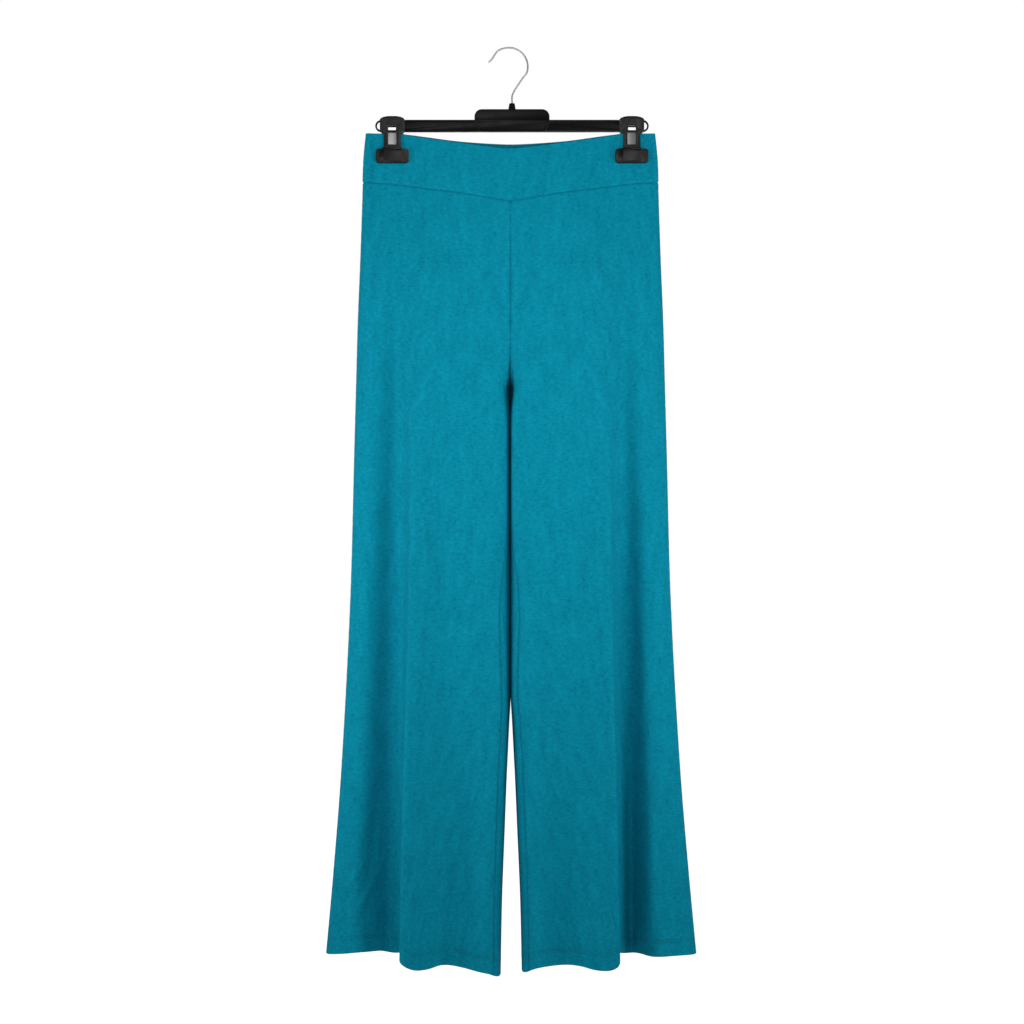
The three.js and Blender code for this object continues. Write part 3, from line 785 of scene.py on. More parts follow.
@dataclass
class LegPanel:
    """One leg panel, from its side seam to its inseam and from the waist seam to the turned hem."""

    form: TrouserForm
    half: Half
    face: Face
    columns: int = int(130 * DETAIL)
    row_step: float = 4.2 / DETAIL
    fork_step: float = 1.6 / DETAIL
    hem_step: float = 0.75
    fork_end: float = -470.0
    groove: float = 0.95  # depth of a seam
    turned_ply: float = 1.0  # added thickness of the turned hem
    stitch_groove: float = 0.22
    hem_round: float = 1.1
    side_shade: float = 0.4  # painted shade at each seam, where shade falls in its groove, 0 to 1
    waist_shade: float = 0.14
    inseam_shade: float = 0.17  # more than the centre seam above it
    centre_shade: float = 0.06
    shade_rise: float = 52.0  # over this height the shade grows down to the fork
    shade_fall: float = 30.0
    shade_half: float = 3.6  # half width of the shade at the fork

    @property
    def node(self) -> str:
        """Name of the solid that the panel stands for."""
        return f"leg_{self.face.word}_{self.half.word}"

    def levels(self) -> np.ndarray:
        """Side heights of the rows: close at the waist seam, the crotch and the hem.

        Returns:
            Falling heights.
        """
        top = SEAM_Z - BORDER_STEPS
        hips = np.arange(top[-1] - self.row_step, FORK_TOP_Z, -self.row_step)
        fork = np.arange(FORK_TOP_Z, self.fork_end, -self.fork_step)
        leg = np.arange(self.fork_end - self.row_step, HEM_Z + HEM_TURN + 4, -self.row_step)
        turn = np.arange(HEM_Z + HEM_TURN + 3, HEM_Z + 4, -self.hem_step)
        hem = HEM_Z + np.array([3.2, 2.4, 1.7, 1.15, 0.8, 0.5, 0.28, 0.12, 0.03, 0])
        return np.concatenate([top, hips, fork, leg, turn, hem])

    def surface(self) -> ClothSheet:
        """Lays out the panel's middle surface.

        Returns:
            The sheet, with its lengths along the cloth.
        """
        levels = self.levels()
        front, front_lengths = self.form.rows(self.half, Face.FRONT, levels)
        turn = inseam_turn(levels)
        if self.face is Face.FRONT:
            stops = border_stops(front_lengths[:, -1] - turn, self.columns)
            points = sample(front, front_lengths, stops)
        else:
            back, back_lengths = self.form.rows(self.half, Face.BACK, levels)
            length = back_lengths[:, -1]
            stops = border_stops(length + turn, self.columns)
            round_edge = front_lengths[:, -1:] - (stops - length[:, None])
            points = np.where(
                (stops <= length[:, None])[..., None],
                sample(back, back_lengths, stops),
                sample(front, front_lengths, round_edge),
            )
        down = np.broadcast_to((SEAM_Z - levels)[:, None], stops.shape)
        return ClothSheet(self.node, points, stops, down, self.face.value)

    def fork_shade(self, x: np.ndarray) -> np.ndarray:
        """Painted shade around the fork, darkening the colour: a band on the seam, then the parted walls.

        Args:
            x: (rows, columns) distance from the centre plane.

        Returns:
            Values 0 to 1, of the same shape.
        """
        above = self.levels()[:, None] - CROTCH_Z
        strength = clamp01(1 - (above - 5) / self.shade_rise) ** 1.6
        strength = strength * (1 - smooth((-above - 16) / self.shade_fall))
        narrowed = 0.8 * smooth((above - 4) / 8) + 2.4 * smooth(-above / 34)
        return strength * (1 - smooth((x - self.shade_half + narrowed) / 2.2))

    def build(self) -> tuple[Piece, ClothSheet]:
        """Makes the panel with rolled seams, inner seam edges, creases and a turned hem.

        Returns:
            The object and its sheet.
        """
        sheet = self.surface()
        seed = 1.3 * self.half.value + 0.7 * self.face.value
        start, end = sheet.across, sheet.across[:, -1:] - sheet.across
        waist, hem = sheet.down, (SEAM_Z - HEM_Z) - sheet.down
        creases = creases_on(sheet.middle, self.half, self.face)
        seams = ((start, sheet.down), (end, sheet.down), (waist, sheet.across))
        outer = roll_seams(LEG_CLOTH / 2 + creases, seams, self.groove, seed)
        turned = 1 - smooth((hem - HEM_TURN - 0.5) / 0.8)
        inner = -LEG_CLOTH / 2 - self.turned_ply * turned
        inner = inner - np.max([seam_allowance(distance) for distance, _ in seams], axis=0)
        inner = inner + creases
        stitched = hem - HEM_TURN
        pressed = bell(stitched, 1.1) + bell(stitched + STITCH_GAP, 1.1)
        outer = outer - self.stitch_groove * pressed
        outer = outer + puckers(sheet.across, np.abs(stitched + STITCH_GAP / 2), seed + 2) * 0.7
        fold = rounded_edge(hem, self.hem_round)
        centre = (outer + inner) / 2
        outer, inner = mix(centre, outer, fold), mix(centre, inner, fold)
        slant = self.form.inner.read("slant", self.levels())[:, None]

        def own_side(points: np.ndarray) -> np.ndarray:
            """Keeps points on the leg's own side of the plane where the legs meet.

            Args:
                points: (rows, columns, 3).

            Returns:
                The same points, with X limited.
            """
            plane = CENTRE + slant * points[..., 1] * bell(points[..., 0], self.form.slant_reach)
            off = self.half.value * (points[..., 0] - plane)
            points[..., 0] = plane + self.half.value * np.maximum(0, off)
            return points

        # painted shade: darkens the colour along the seams and, on the front, around the fork, where shade
        # falls
        below_waist = smooth((SEAM_Z - 40 - self.levels()) / 40)[:, None]
        inner_shade = self.centre_shade + self.inseam_shade * below_waist
        painted_shade = self.side_shade * bell(start, 1.7) + inner_shade * bell(end, 1.9)
        painted_shade = painted_shade + self.waist_shade * bell(waist, 1.4)
        if self.face is Face.FRONT:
            painted_shade = painted_shade + self.fork_shade(np.abs(sheet.middle[..., 0] - CENTRE))
        return sheet.build(outer, inner, clamp01(painted_shade), own_side), sheet


@dataclass
class Waistband:
    """Front or back of the doubled waistband, folded along its top edge."""

    form: TrouserForm
    face: Face
    columns: int = int(150 * DETAIL)
    row_step: float = 2.6 / DETAIL
    groove: float = 1.3  # depth of a seam
    top_round: float = 1.0
    side_shade: float = 0.4  # painted shade at each seam, where shade falls in its groove, 0 to 1
    waist_shade: float = 0.14

    @property
    def node(self) -> str:
        """Name of the solid that the band stands for."""
        return f"waistband_{self.face.word}"

    def surface(self) -> ClothSheet:
        """Lays out the band's middle surface, from the wearer's right side seam to the left one.

        Returns:
            The sheet.
        """
        top = TOP_Z - np.array([0, 0.03, 0.12, 0.28, 0.5, 0.8, 1.15, 1.7, 2.5])
        near = SEAM_Z + BORDER_STEPS[::-1]
        levels = np.concatenate([top, np.arange(top[-1] - self.row_step, near[0], -self.row_step), near])
        right, right_lengths = self.form.rows(Half.RIGHT, self.face, levels)
        left, left_lengths = self.form.rows(Half.LEFT, self.face, levels)
        points = np.concatenate([right, left[:, -2::-1]], axis=1)
        lengths = lengths_along(points)
        stops = border_stops(lengths[:, -1], self.columns)
        down = np.broadcast_to((TOP_Z - levels)[:, None], stops.shape)
        return ClothSheet(self.node, sample(points, lengths, stops), stops, down, self.face.value)

    def build(self) -> tuple[Piece, ClothSheet]:
        """Makes the band.

        Returns:
            The object and its sheet.
        """
        sheet = self.surface()
        seam = (TOP_Z - SEAM_Z) - sheet.down
        start, end = sheet.across, sheet.across[:, -1:] - sheet.across
        seams = ((start, sheet.down), (end, sheet.down), (seam, sheet.across))
        outer = roll_seams(BAND_CLOTH / 2 + 0 * start, seams, self.groove, 3 * self.face.value)
        inner = -BAND_CLOTH / 2 + 0 * start
        round_top = rounded_edge(sheet.down, self.top_round)
        outer, inner = outer * round_top, inner * round_top
        # painted shade: darkens the colour along the side seams and the waist seam
        painted_shade = self.side_shade * (bell(start, 1.7) + bell(end, 1.7))
        painted_shade = painted_shade + self.waist_shade * bell(seam, 1.4)
        return sheet.build(outer, inner, clamp01(painted_shade)), sheet


@dataclass
class Coverstitch:
    """Two parallel rows of short thread stitches above a hem."""

    pitch: float = 3.0
    length: float = 2.5
    radius: float = 0.17
    sides: int = 6
    rows: tuple[float, float] = (HEM_TURN, HEM_TURN - STITCH_GAP)
    places: tuple[float, ...] = (-0.5, -0.28, 0, 0.28, 0.5)
    lifts: tuple[float, ...] = (-0.14, 0.1, 0.15, 0.1, -0.14)

    def build(self, name: str, sheets: Sequence[ClothSheet]) -> Piece:
        """Lays the stitches on the outside of panels.

        Each stitch is a bent tube of five rings: its ends dip into the cloth.

        Args:
            name: the object's name.
            sheets: the panels whose hems are stitched.

        Returns:
            One object with all the stitches.
        """
        vertices = []
        for sheet in sheets:
            out = sheet.directions()
            hem = (SEAM_Z - HEM_Z) - sheet.down[:, 0]
            for height in self.rows:
                row = int(np.argmin(np.abs(hem - height)))
                line = sheet.middle[row] + out[row] * (LEG_CLOTH / 2 - 0.1)
                vertices.append(self.stitches_on(line, out[row]))
        made = np.concatenate(vertices)
        rings = len(self.places)
        one = tube_quads(rings, self.sides, True)
        first = np.arange(0, len(made), rings * self.sides)[:, None, None]
        return new_object(name, made * MM, (first + one).reshape(-1, 4))

    def stitches_on(self, line: np.ndarray, out: np.ndarray) -> np.ndarray:
        """Vertices of a row of stitches along a line.

        Args:
            line: (n, 3) points.
            out: (n, 3) directions out of the cloth.

        Returns:
            (m, 3), stitch by stitch and ring by ring.
        """
        lengths = lengths_along(line[None])[0]
        count = int(lengths[-1] / self.pitch)
        middle = (np.arange(count) + 0.5) * lengths[-1] / count
        stops = middle[:, None] + self.length * np.array(self.places)
        points = np.stack([np.interp(stops, lengths, line[:, k]) for k in range(3)], axis=-1)
        normal = np.stack([np.interp(stops, lengths, out[:, k]) for k in range(3)], axis=-1)
        along = points[:, -1:] - points[:, :1]
        along = along / np.linalg.norm(along, axis=2, keepdims=True)
        side = np.cross(normal, along)
        lift = np.array(self.lifts)[None, :, None, None]
        angle = np.linspace(0, 2 * np.pi, self.sides, endpoint=False)[None, None, :, None]
        ring = normal[:, :, None] * (lift + self.radius * np.cos(angle))
        ring = ring + side[:, :, None] * self.radius * np.sin(angle)
        return (points[:, :, None] + ring).reshape(-1, 3)


# ---------------------------------------------------------------- solids of the hanger


def arc(cx: float, cz: float, radius: float, start: float, end: float, count: int = 14) -> Outline:
    """Points of an arc about (cx, cz), from one angle to another in degrees, in count steps."""
    angles = np.radians(np.linspace(start, end, count + 1))
    return [(cx + radius * math.cos(t), cz + radius * math.sin(t)) for t in angles]


def rounded(x0: float, x1: float, z0: float, z1: float, top: float, foot: float) -> Outline:
    """A rectangle with rounded corners.

    Args:
        x0: lowest X.
        x1: highest X.
        z0: lowest Z.
        z1: highest Z.
        top: radius of the top corners.
        foot: radius of the bottom corners.

    Returns:
        Its outline, counter-clockwise.
    """
    return [
        *arc(x1 - foot, z0 + foot, foot, -90, 0),
        *arc(x1 - top, z1 - top, top, 0, 90),
        *arc(x0 + top, z1 - top, top, 90, 180),
        *arc(x0 + foot, z0 + foot, foot, 180, 270),
    ]


class Axis(Enum):
    """Direction that an outline is extruded along, with its number."""

    X = 0
    Y = 1


def prism(name: str, outline: Outline, axis: Axis, low: float, high: float) -> Piece:
    """Extrudes an outline.

    Args:
        name: the object's name.
        outline: points (x, z) for Y, or (y, z) for X, in millimetres.
        axis: the direction of extrusion.
        low: where it starts.
        high: where it ends.

    Returns:
        The object.
    """
    flat = np.array(outline)
    keep = np.linalg.norm(flat - np.roll(flat, 1, axis=0), axis=1) > 1e-4
    flat = flat[keep]
    columns = [flat[:, 0], np.zeros(len(flat)), flat[:, 1]]
    if axis is Axis.X:
        columns = [np.zeros(len(flat)), flat[:, 0], flat[:, 1]]
    ring = np.stack(columns, axis=-1)
    shift = np.eye(3)[axis.value]
    mesh = bmesh.new()
    lines = [[mesh.verts.new(Vector(p) * MM) for p in ring + shift * at] for at in (low, high)]
    mesh.faces.new(lines[0])
    mesh.faces.new(lines[1][::-1])
    for k, (a, b) in enumerate(zip(*lines)):
        mesh.faces.new([a, b, lines[1][k - 1], lines[0][k - 1]])
    bmesh.ops.recalc_face_normals(mesh, faces=mesh.faces)
    data = bpy.data.meshes.new(name)
    mesh.to_mesh(data)
    mesh.free()
    return link_object(name, data)


def apply_modifiers(target: Piece) -> None:
    """Turns an object's modifiers into its mesh.

    Args:
        target: the object.
    """
    evaluated = target.evaluated_get(bpy.context.evaluated_depsgraph_get())
    target.data = bpy.data.meshes.new_from_object(evaluated)
    target.modifiers.clear()


def combine(target: Piece, tools: Sequence[Piece], operation: str) -> Piece:
    """Joins, cuts or intersects solids, and removes the tools.

    Args:
        target: the solid that stays.
        tools: the other solids.
        operation: UNION, DIFFERENCE or INTERSECT.

    Returns:
        The target.
    """
    for tool in tools:
        modifier = target.modifiers.new("combine", "BOOLEAN")
        modifier.operation = operation
        modifier.solver = "EXACT"
        modifier.object = tool
        apply_modifiers(target)
        bpy.data.objects.remove(tool)
    return target


def soften(target: Piece, width: float, segments: int = 3) -> Piece:
    """Rounds an object's edges and shades it smooth.

    Args:
        target: the object.
        width: width of the rounding, in millimetres.
        segments: steps across it.

    Returns:
        The target.
    """
    bevel = target.modifiers.new("edges", "BEVEL")
    bevel.width = width * MM
    bevel.segments = segments
    bevel.limit_method = "ANGLE"
    bevel.angle_limit = math.radians(32)
    bevel.use_clamp_overlap = True
    bevel.harden_normals = True
    apply_modifiers(target)
    target.data.shade_smooth()
    target.data.set_sharp_from_angle(angle=math.radians(40))
    return target


@dataclass
class HangerBar:
    """The moulded bar with its panel, collar and end loops."""

    top: float
    bottom: float
    half: float
    collar_top: float
    web: float = 1.5
    flange_out: float = 3.2
    flange: float = 2.0
    flange_end: float = 136.4
    panel_half: float = 48.0
    panel_out: float = 2.2
    panel_top: float = -78.2
    panel_round: float = 9.5
    panel_cut_in: float = 6.0
    panel_cut_up: float = 11.0
    rail: float = 2.2
    loop_start: float = 141.0
    bore: float = 1.4
    cut_out: float = 9.0  # deeper than the bar, for cutting right through it

    def panel_outline(self, inset: float) -> Outline:
        """Outline of the centre panel: round top corners and lower corners cut off.

        Args:
            inset: distance inside the outer edge.

        Returns:
            The outline.
        """
        half, round_off = self.panel_half - inset, self.panel_round - inset
        foot, top = self.bottom + inset, self.panel_top - inset
        cut_in, cut_up = self.panel_cut_in, self.panel_cut_up
        return [
            (-half + cut_in, foot), (half - cut_in, foot), (half, foot + cut_up),
            *arc(half - round_off, top - round_off, round_off, 0, 90),
            *arc(-half + round_off, top - round_off, round_off, 90, 180),
            (-half, foot + cut_up),
        ]

    def loop(self, side: float) -> Piece:
        """One end loop with its hole.

        Args:
            side: -1 or 1.

        Returns:
            The loop.
        """
        low = self.bottom
        radius = (self.top - low) / 2 - 0.01
        ends = sorted([side * (self.loop_start - self.rail), side * self.half])
        inner = [ends[0] + self.rail, ends[1] - self.rail]
        inner[0 if side > 0 else 1] = side * self.loop_start
        ring = prism("loop", rounded(*ends, low, self.top, radius, radius), Axis.Y, -self.web, self.web)
        inside = radius - self.rail
        hole = rounded(*inner, low + self.rail, self.top - self.rail, inside, inside)
        return combine(ring, [prism("hole", hole, Axis.Y, -self.cut_out, self.cut_out)], "DIFFERENCE")

    def collar(self) -> Piece:
        """The tapered collar round the hook's stem, turned from a short profile.

        Returns:
            The collar.
        """
        foot, top = self.panel_top - 0.6, self.collar_top
        profile = [(0.02, foot), (4.8, foot), (4.75, foot + 0.9), (3.6, top - 0.5), (3.1, top)]
        profile += [(self.bore, top), (self.bore, foot + 1), (0.02, foot + 1)]
        turns = 48
        angle = np.linspace(0, 2 * np.pi, turns, endpoint=False)
        ring = np.array(profile)
        x = ring[:, :1] * np.cos(angle)
        y = ring[:, :1] * np.sin(angle)
        z = np.broadcast_to(ring[:, 1:], x.shape)
        vertices = np.stack([x, y, z], axis=-1).reshape(-1, 3) * MM
        made = new_object("hanger_collar", vertices, tube_quads(len(ring), turns, True))
        made.data.set_sharp_from_angle(angle=math.radians(35))
        return made

    def build(self) -> list[Piece]:
        """Makes the bar and its collar.

        Returns:
            The pieces.
        """
        reach = self.loop_start + (self.top - self.bottom) / 2
        web = rounded(-reach, reach, self.bottom, self.top, 0.4, 0.4)
        body = prism("hanger_bar_moulding", web, Axis.Y, -self.web, self.web)
        parts = []
        for z in (self.top - self.flange, self.bottom):
            outline = rounded(-self.flange_end, self.flange_end, z, z + self.flange, 0.3, 0.3)
            parts.append(prism("flange", outline, Axis.Y, -self.flange_out, self.flange_out))
        rim_out = self.flange_out + 0.02
        rim = prism("rim", self.panel_outline(0), Axis.Y, -rim_out, rim_out)
        hollow = prism("hollow", self.panel_outline(self.flange), Axis.Y, -self.cut_out, self.cut_out)
        parts.append(combine(rim, [hollow], "DIFFERENCE"))
        middle = self.panel_outline(0.3)
        parts.append(prism("panel", middle, Axis.Y, -self.panel_out, self.panel_out))
        parts += [self.loop(-1), self.loop(1)]
        combine(body, parts, "UNION")
        return [soften(body, 0.35, 2), self.collar()]


@dataclass
class HangerHook:
    """The plated wire hook: a flicked tip, most of a circle, a slanting neck and an upright stem."""

    wire: float
    foot: float
    radius: float = 24.3
    middle_x: float = -4.1
    sides: int = 20

    def route(self) -> np.ndarray:
        """The wire's centre line, as a smooth curve through its bends.

        Returns:
            Points (n, 2) of x and z.
        """
        middle_z = self.wire / 2 - self.radius
        bend = arc(self.middle_x, middle_z, self.radius, 128, -20, 8)
        tip = [(-29.3, -17.2), (-25.6, -13.6)]
        neck = [(12.6, -39.6), (5.2, -50.8), (1.3, -57.6), (0, -63), (0, -69), (0, self.foot)]
        knots = np.array([*tip, *bend, *neck])
        knots = np.concatenate([2 * knots[:1] - knots[1:2], knots, 2 * knots[-1:] - knots[-2:-1]])
        t = np.linspace(0, 1, 12, endpoint=False)[:, None]
        spans = []
        for a, b, c, d in zip(knots, knots[1:], knots[2:], knots[3:]):
            square = (2 * a - 5 * b + 4 * c - d) * t**2
            cube = (3 * b - a - 3 * c + d) * t**3
            spans.append((2 * b + (c - a) * t + square + cube) / 2)
        return np.concatenate([*spans, knots[-2:-1]])

    def build(self) -> Piece:
        """Sweeps the wire, with a rounded tip.

        Returns:
            The hook.
        """
        line = self.route()
        along = np.gradient(line, axis=0)
        along /= np.linalg.norm(along, axis=1, keepdims=True)
        dome = np.radians(np.array([80, 60, 40, 20]))
        tip = line[:1] - along[:1] * (self.wire / 2) * np.sin(dome)[:, None]
        line = np.concatenate([tip, line])
        along = np.concatenate([np.repeat(along[:1], len(dome), axis=0), along])
        radius = np.concatenate([np.cos(dome), np.ones(len(line) - len(dome))]) * self.wire / 2
        angle = np.linspace(0, 2 * np.pi, self.sides, endpoint=False)
        across = np.stack([along[:, 1], -along[:, 0]], axis=-1)
        x = line[:, :1] + across[:, :1] * radius[:, None] * np.cos(angle)
        z = line[:, 1:] + across[:, 1:] * radius[:, None] * np.cos(angle)
        y = radius[:, None] * np.sin(angle)
        vertices = np.stack([x, y, z], axis=-1).reshape(-1, 3) * MM
        return new_object("hook_wire", vertices, tube_quads(len(line), self.sides))


@dataclass
class Clip:
    """One sprung clip: two moulded jaws, their gripping pads and the strip spring between them."""

    half: Half
    middle: float
    jaw_bottom: float
    head_top: float
    bar_bottom: float
    head_half: float = 15.9
    shoulder: float = -93.0
    head_foot: float = -105.8
    taper: float = 4.5
    neck_half: float = 10.9
    foot_top: float = -129.0
    corner: float = 4.2
    fillet: float = 3.0
    window_half: float = 5.8
    window_top: float = -99.7
    window_bottom: float = -124.0
    pad_top: float = -127.0
    pad_inside: float = 2.45
    seat: float = 1.8
    foot_out: float = 7.8
    wing_step: float = 0.9
    ridge_rise: float = 0.4
    spring_half: float = 5.4
    spring_arm: float = 5.8
    steel: float = 0.8

    def outline(self, inset: float = 0.0) -> Outline:
        """Front outline of a jaw about its own middle: domed head, neck and wide foot.

        Args:
            inset: how far inside the real edge the head and neck run.

        Returns:
            The outline.
        """
        turn = JAW_WIDTH / 2 - self.corner
        low, high = self.jaw_bottom + self.corner, self.foot_top - self.corner
        head, neck = self.head_half - inset, self.neck_half - inset
        dome = self.head_top - self.shoulder - inset
        round_head = np.radians(np.linspace(0, 180, 41))
        crown = [(head * math.cos(t), self.shoulder + dome * math.sin(t)) for t in round_head]
        hollow = arc(neck + self.fillet, self.foot_top + self.fillet, self.fillet, 270, 180, 6)
        right = [
            *arc(turn, low, self.corner, -90, 0),
            *arc(turn, high, self.corner, 0, 90),
            *hollow,
            (neck, self.head_foot - self.taper), (head, self.head_foot),
        ]
        return [*right, *crown, *[(-x, z) for x, z in reversed(right)]]

    def side_profile(self) -> Outline:
        """Side outline of a jaw, as distance out from the middle plane and height.

        Returns:
            The outline.
        """
        pad, bottom = self.pad_inside, self.jaw_bottom
        top, foot = self.head_top, self.foot_top
        back = [(7.2, top), (6.3, top - 1.8), (self.seat, -104.2), (self.seat, -107.6)]
        back += [(pad + 1, -110), (pad + 1, self.pad_top + 1.5), (pad, self.pad_top), (pad, bottom)]
        front = [(6.0, bottom), (7.2, bottom + 1.4), (7.7, bottom + 4), (7.8, -138), (7.7, foot - 3.5)]
        front += [(7.2, foot - 1), (6.5, foot + 1), (6.2, foot + 5), (6.2, -112), (6.6, -106), (7.2, -101)]
        front += [(8.5, top - 7), (9.3, top - 3), (9.2, top - 1.2), (8.5, top - 0.2)]
        return [*back, *front]

    def jaw(self, face: Face) -> Piece:
        """One moulded jaw with a window, raised edges beside it and thumb ribs.

        Args:
            face: front or back.

        Returns:
            The jaw.
        """
        sign = face.value
        name = f"clip_{self.half.word}_{face.word}_moulding"
        body = prism(name, self.outline(), Axis.Y, -THROUGH, THROUGH)
        profile = [(sign * out, z) for out, z in self.side_profile()]
        combine(body, [prism("side", profile, Axis.X, -BEYOND, BEYOND)], "INTERSECT")
        window = rounded(-self.window_half, self.window_half, self.window_bottom, self.window_top, 0.8, 0.8)
        combine(body, [prism("window", window, Axis.Y, -THROUGH, THROUGH)], "DIFFERENCE")
        beside = sorted([sign * (self.foot_out - self.wing_step), sign * THROUGH])
        for side in (-1, 1):
            ends = sorted([side * (self.neck_half + 0.2), side * BEYOND])
            wing = rounded(*ends, self.jaw_bottom - 2, self.foot_top + 1.2, 0.2, 0.2)
            combine(body, [prism("wing", wing, Axis.Y, *beside)], "DIFFERENCE")
        combine(body, [self.window_edge(sign), self.thumb_ridge(sign), *self.thumb_ribs(sign)], "UNION")
        body.location.x = self.middle * MM
        bpy.context.view_layer.update()
        body.data.transform(body.matrix_world)
        body.location.x = 0
        return soften(body, 0.3, 3)

    def window_edge(self, sign: float) -> Piece:
        """The raised edge round the window.

        Args:
            sign: -1 for the front jaw, 1 for the back one.

        Returns:
            The edge.
        """
        low, high, half = self.window_bottom, self.window_top, self.window_half
        outside = rounded(-half - 2.4, half + 2.4, low - 2.4, high + 2.0, 2.4, 2.4)
        inside = rounded(-half - 1.2, half + 1.2, low - 1.2, high + 0.9, 1.4, 1.4)
        edge = prism("edge", outside, Axis.Y, *sorted([sign * 5.2, sign * 6.7]))
        return combine(edge, [prism("edge_hole", inside, Axis.Y, -THROUGH, THROUGH)], "DIFFERENCE")

    def thumb_ridge(self, sign: float) -> Piece:
        """The ridge that runs round the head, inside its rim and on its slanting face.

        Args:
            sign: -1 for the front jaw, 1 for the back one.

        Returns:
            The ridge.
        """
        ridge = prism("ridge", self.outline(2.4), Axis.Y, -THROUGH, THROUGH)
        combine(ridge, [prism("ridge_hole", self.outline(3.7), Axis.Y, -THROUGH, THROUGH)], "DIFFERENCE")
        low, top, rise = -102.5, self.head_top, self.ridge_rise
        slanting = [(6, low), (7.0 + rise, low), (8.5 + rise, top - 7), (9.3 + rise, top - 3)]
        band = [(sign * out, z) for out, z in [*slanting, (9.2, top - 1), (6, top - 1)]]
        return combine(ridge, [prism("band", band, Axis.X, -BEYOND, BEYOND)], "INTERSECT")

    def thumb_ribs(self, sign: float) -> list[Piece]:
        """Short level ribs on the head, above the window.

        Args:
            sign: -1 for the front jaw, 1 for the back one.

        Returns:
            The ribs.
        """
        ribs = []
        for drop, half in ((5.6, 5.0), (7.9, 6.6), (10.2, 7.4)):
            middle = self.head_top - drop
            out = 8.5 + (self.head_top - 7 - middle) * -0.2
            back = out - 1.5
            profile = [(back, middle - 0.55), (out + 0.35, middle - 0.4)]
            profile += [(out + 0.45, middle + 0.4), (back, middle + 0.55)]
            ribs.append(prism("rib", [(sign * y, z) for y, z in profile], Axis.X, -half, half))
        return ribs

    def pad(self, face: Face) -> Piece:
        """The toothed pad that presses on the band.

        Args:
            face: front or back.

        Returns:
            The pad.
        """
        sign = face.value
        teeth = np.linspace(self.pad_top - 1.5, self.jaw_bottom + 1.5, 15)
        inside = [(2.42 if k % 2 else 2.2, z) for k, z in enumerate(teeth)]
        profile = [(sign * out, z) for out, z in [*inside, (2.6, teeth[-1]), (2.6, teeth[0])]]
        name = f"clip_{self.half.word}_{face.word}_pad"
        half = JAW_WIDTH / 2 - 3
        return soften(prism(name, profile, Axis.X, self.middle - half, self.middle + half), 0.06, 2)

    def spring(self) -> Piece:
        """The strip spring, bent over the cloth's edge.

        Returns:
            The spring.
        """
        foot, top, arm = self.window_bottom + 0.3, self.bar_bottom - 0.3, self.spring_arm
        outer = rounded(-arm, arm, foot, top, 2.4, 0.2)
        inner = rounded(-arm + self.steel, arm - self.steel, foot - 5, top - self.steel, 1.6, 0.2)
        low, high = self.middle - self.spring_half, self.middle + self.spring_half
        strip = prism(f"clip_{self.half.word}_strip", outer, Axis.X, low, high)
        combine(strip, [prism("inside", inner, Axis.X, low - 2, high + 2)], "DIFFERENCE")
        return soften(strip, 0.16, 2)


# ---------------------------------------------------------------- shader node groups


@dataclass
class Nodes:
    """Short calls for building a node tree."""

    tree: bpy.types.NodeTree

    def add(self, kind: str, inputs: dict | None = None, **settings: object) -> bpy.types.Node:
        """Adds a node.

        Args:
            kind: the node's type, without the ShaderNode prefix.
            inputs: values or sockets for its inputs, by name or number.
            settings: properties to set on the node.

        Returns:
            The node.
        """
        node = self.tree.nodes.new(kind if kind.startswith("NodeGroup") else f"ShaderNode{kind}")
        for name, value in settings.items():
            setattr(node, name, value)
        self.fill(node, inputs or {})
        return node

    def fill(self, node: bpy.types.Node, inputs: dict) -> None:
        """Links or sets a node's inputs.

        Args:
            node: the node.
            inputs: sockets or values, by name or number.
        """
        for key, value in inputs.items():
            if isinstance(value, Socket):
                self.tree.links.new(value, node.inputs[key])
            else:
                node.inputs[key].default_value = value

    def math(self, operation: str, a: object, b: object = 0.0, c: object = 0.0) -> Socket:
        """A math node."""
        return self.add("Math", {0: a, 1: b, 2: c}, operation=operation).outputs[0]

    def stretched(self, place: Socket, by: object) -> Socket:
        """A place multiplied by a vector."""
        return self.add("VectorMath", {0: place, 1: by}, operation="MULTIPLY").outputs[0]

    def divided(self, place: Socket, size: Socket) -> Socket:
        """A place divided by a size."""
        times = self.math("DIVIDE", 1.0, size)
        return self.add("VectorMath", {0: place, 3: times}, operation="SCALE").outputs[0]

    def noise(self, place: Socket, scale: float, detail: float, roughness: float = 0.5) -> Socket:
        """A noise's value at a place."""
        inputs = {"Vector": place, "Scale": scale, "Detail": detail, "Roughness": roughness}
        return self.add("TexNoise", inputs).outputs["Fac"]

    def spread(self, value: Socket, low: object = 0.0, high: object = 1.0) -> Socket:
        """Stretches the middle of a noise, 0.3 to 0.7, over low to high."""
        inputs = {"Value": value, "From Min": 0.3, "From Max": 0.7, "To Min": low, "To Max": high}
        return self.add("MapRange", inputs, clamp=True).outputs[0]

    def bump(self, height: Socket, distance: float, strength: float) -> Socket:
        """A surface direction pressed by a height."""
        inputs = {"Height": height, "Distance": distance, "Strength": strength}
        return self.add("Bump", inputs).outputs[0]


def new_group(
    name: str, inputs: dict[str, tuple[str, object]], outputs: Sequence[str]
) -> tuple[Nodes, bpy.types.Node, bpy.types.Node]:
    """Starts a shader node group with named sockets.

    Args:
        name: the group's name.
        inputs: socket kind and default, by name.
        outputs: names of its values.

    Returns:
        The tree's nodes, the input node and the output node.
    """
    tree = bpy.data.node_groups.new(name, "ShaderNodeTree")
    for label, (kind, default) in inputs.items():
        socket = tree.interface.new_socket(label, in_out="INPUT", socket_type=f"NodeSocket{kind}")
        if default is not None:
            socket.default_value = default
    for label in outputs:
        tree.interface.new_socket(label, in_out="OUTPUT", socket_type="NodeSocketFloat")
    nodes = Nodes(tree)
    return nodes, nodes.add("NodeGroupInput"), nodes.add("NodeGroupOutput")


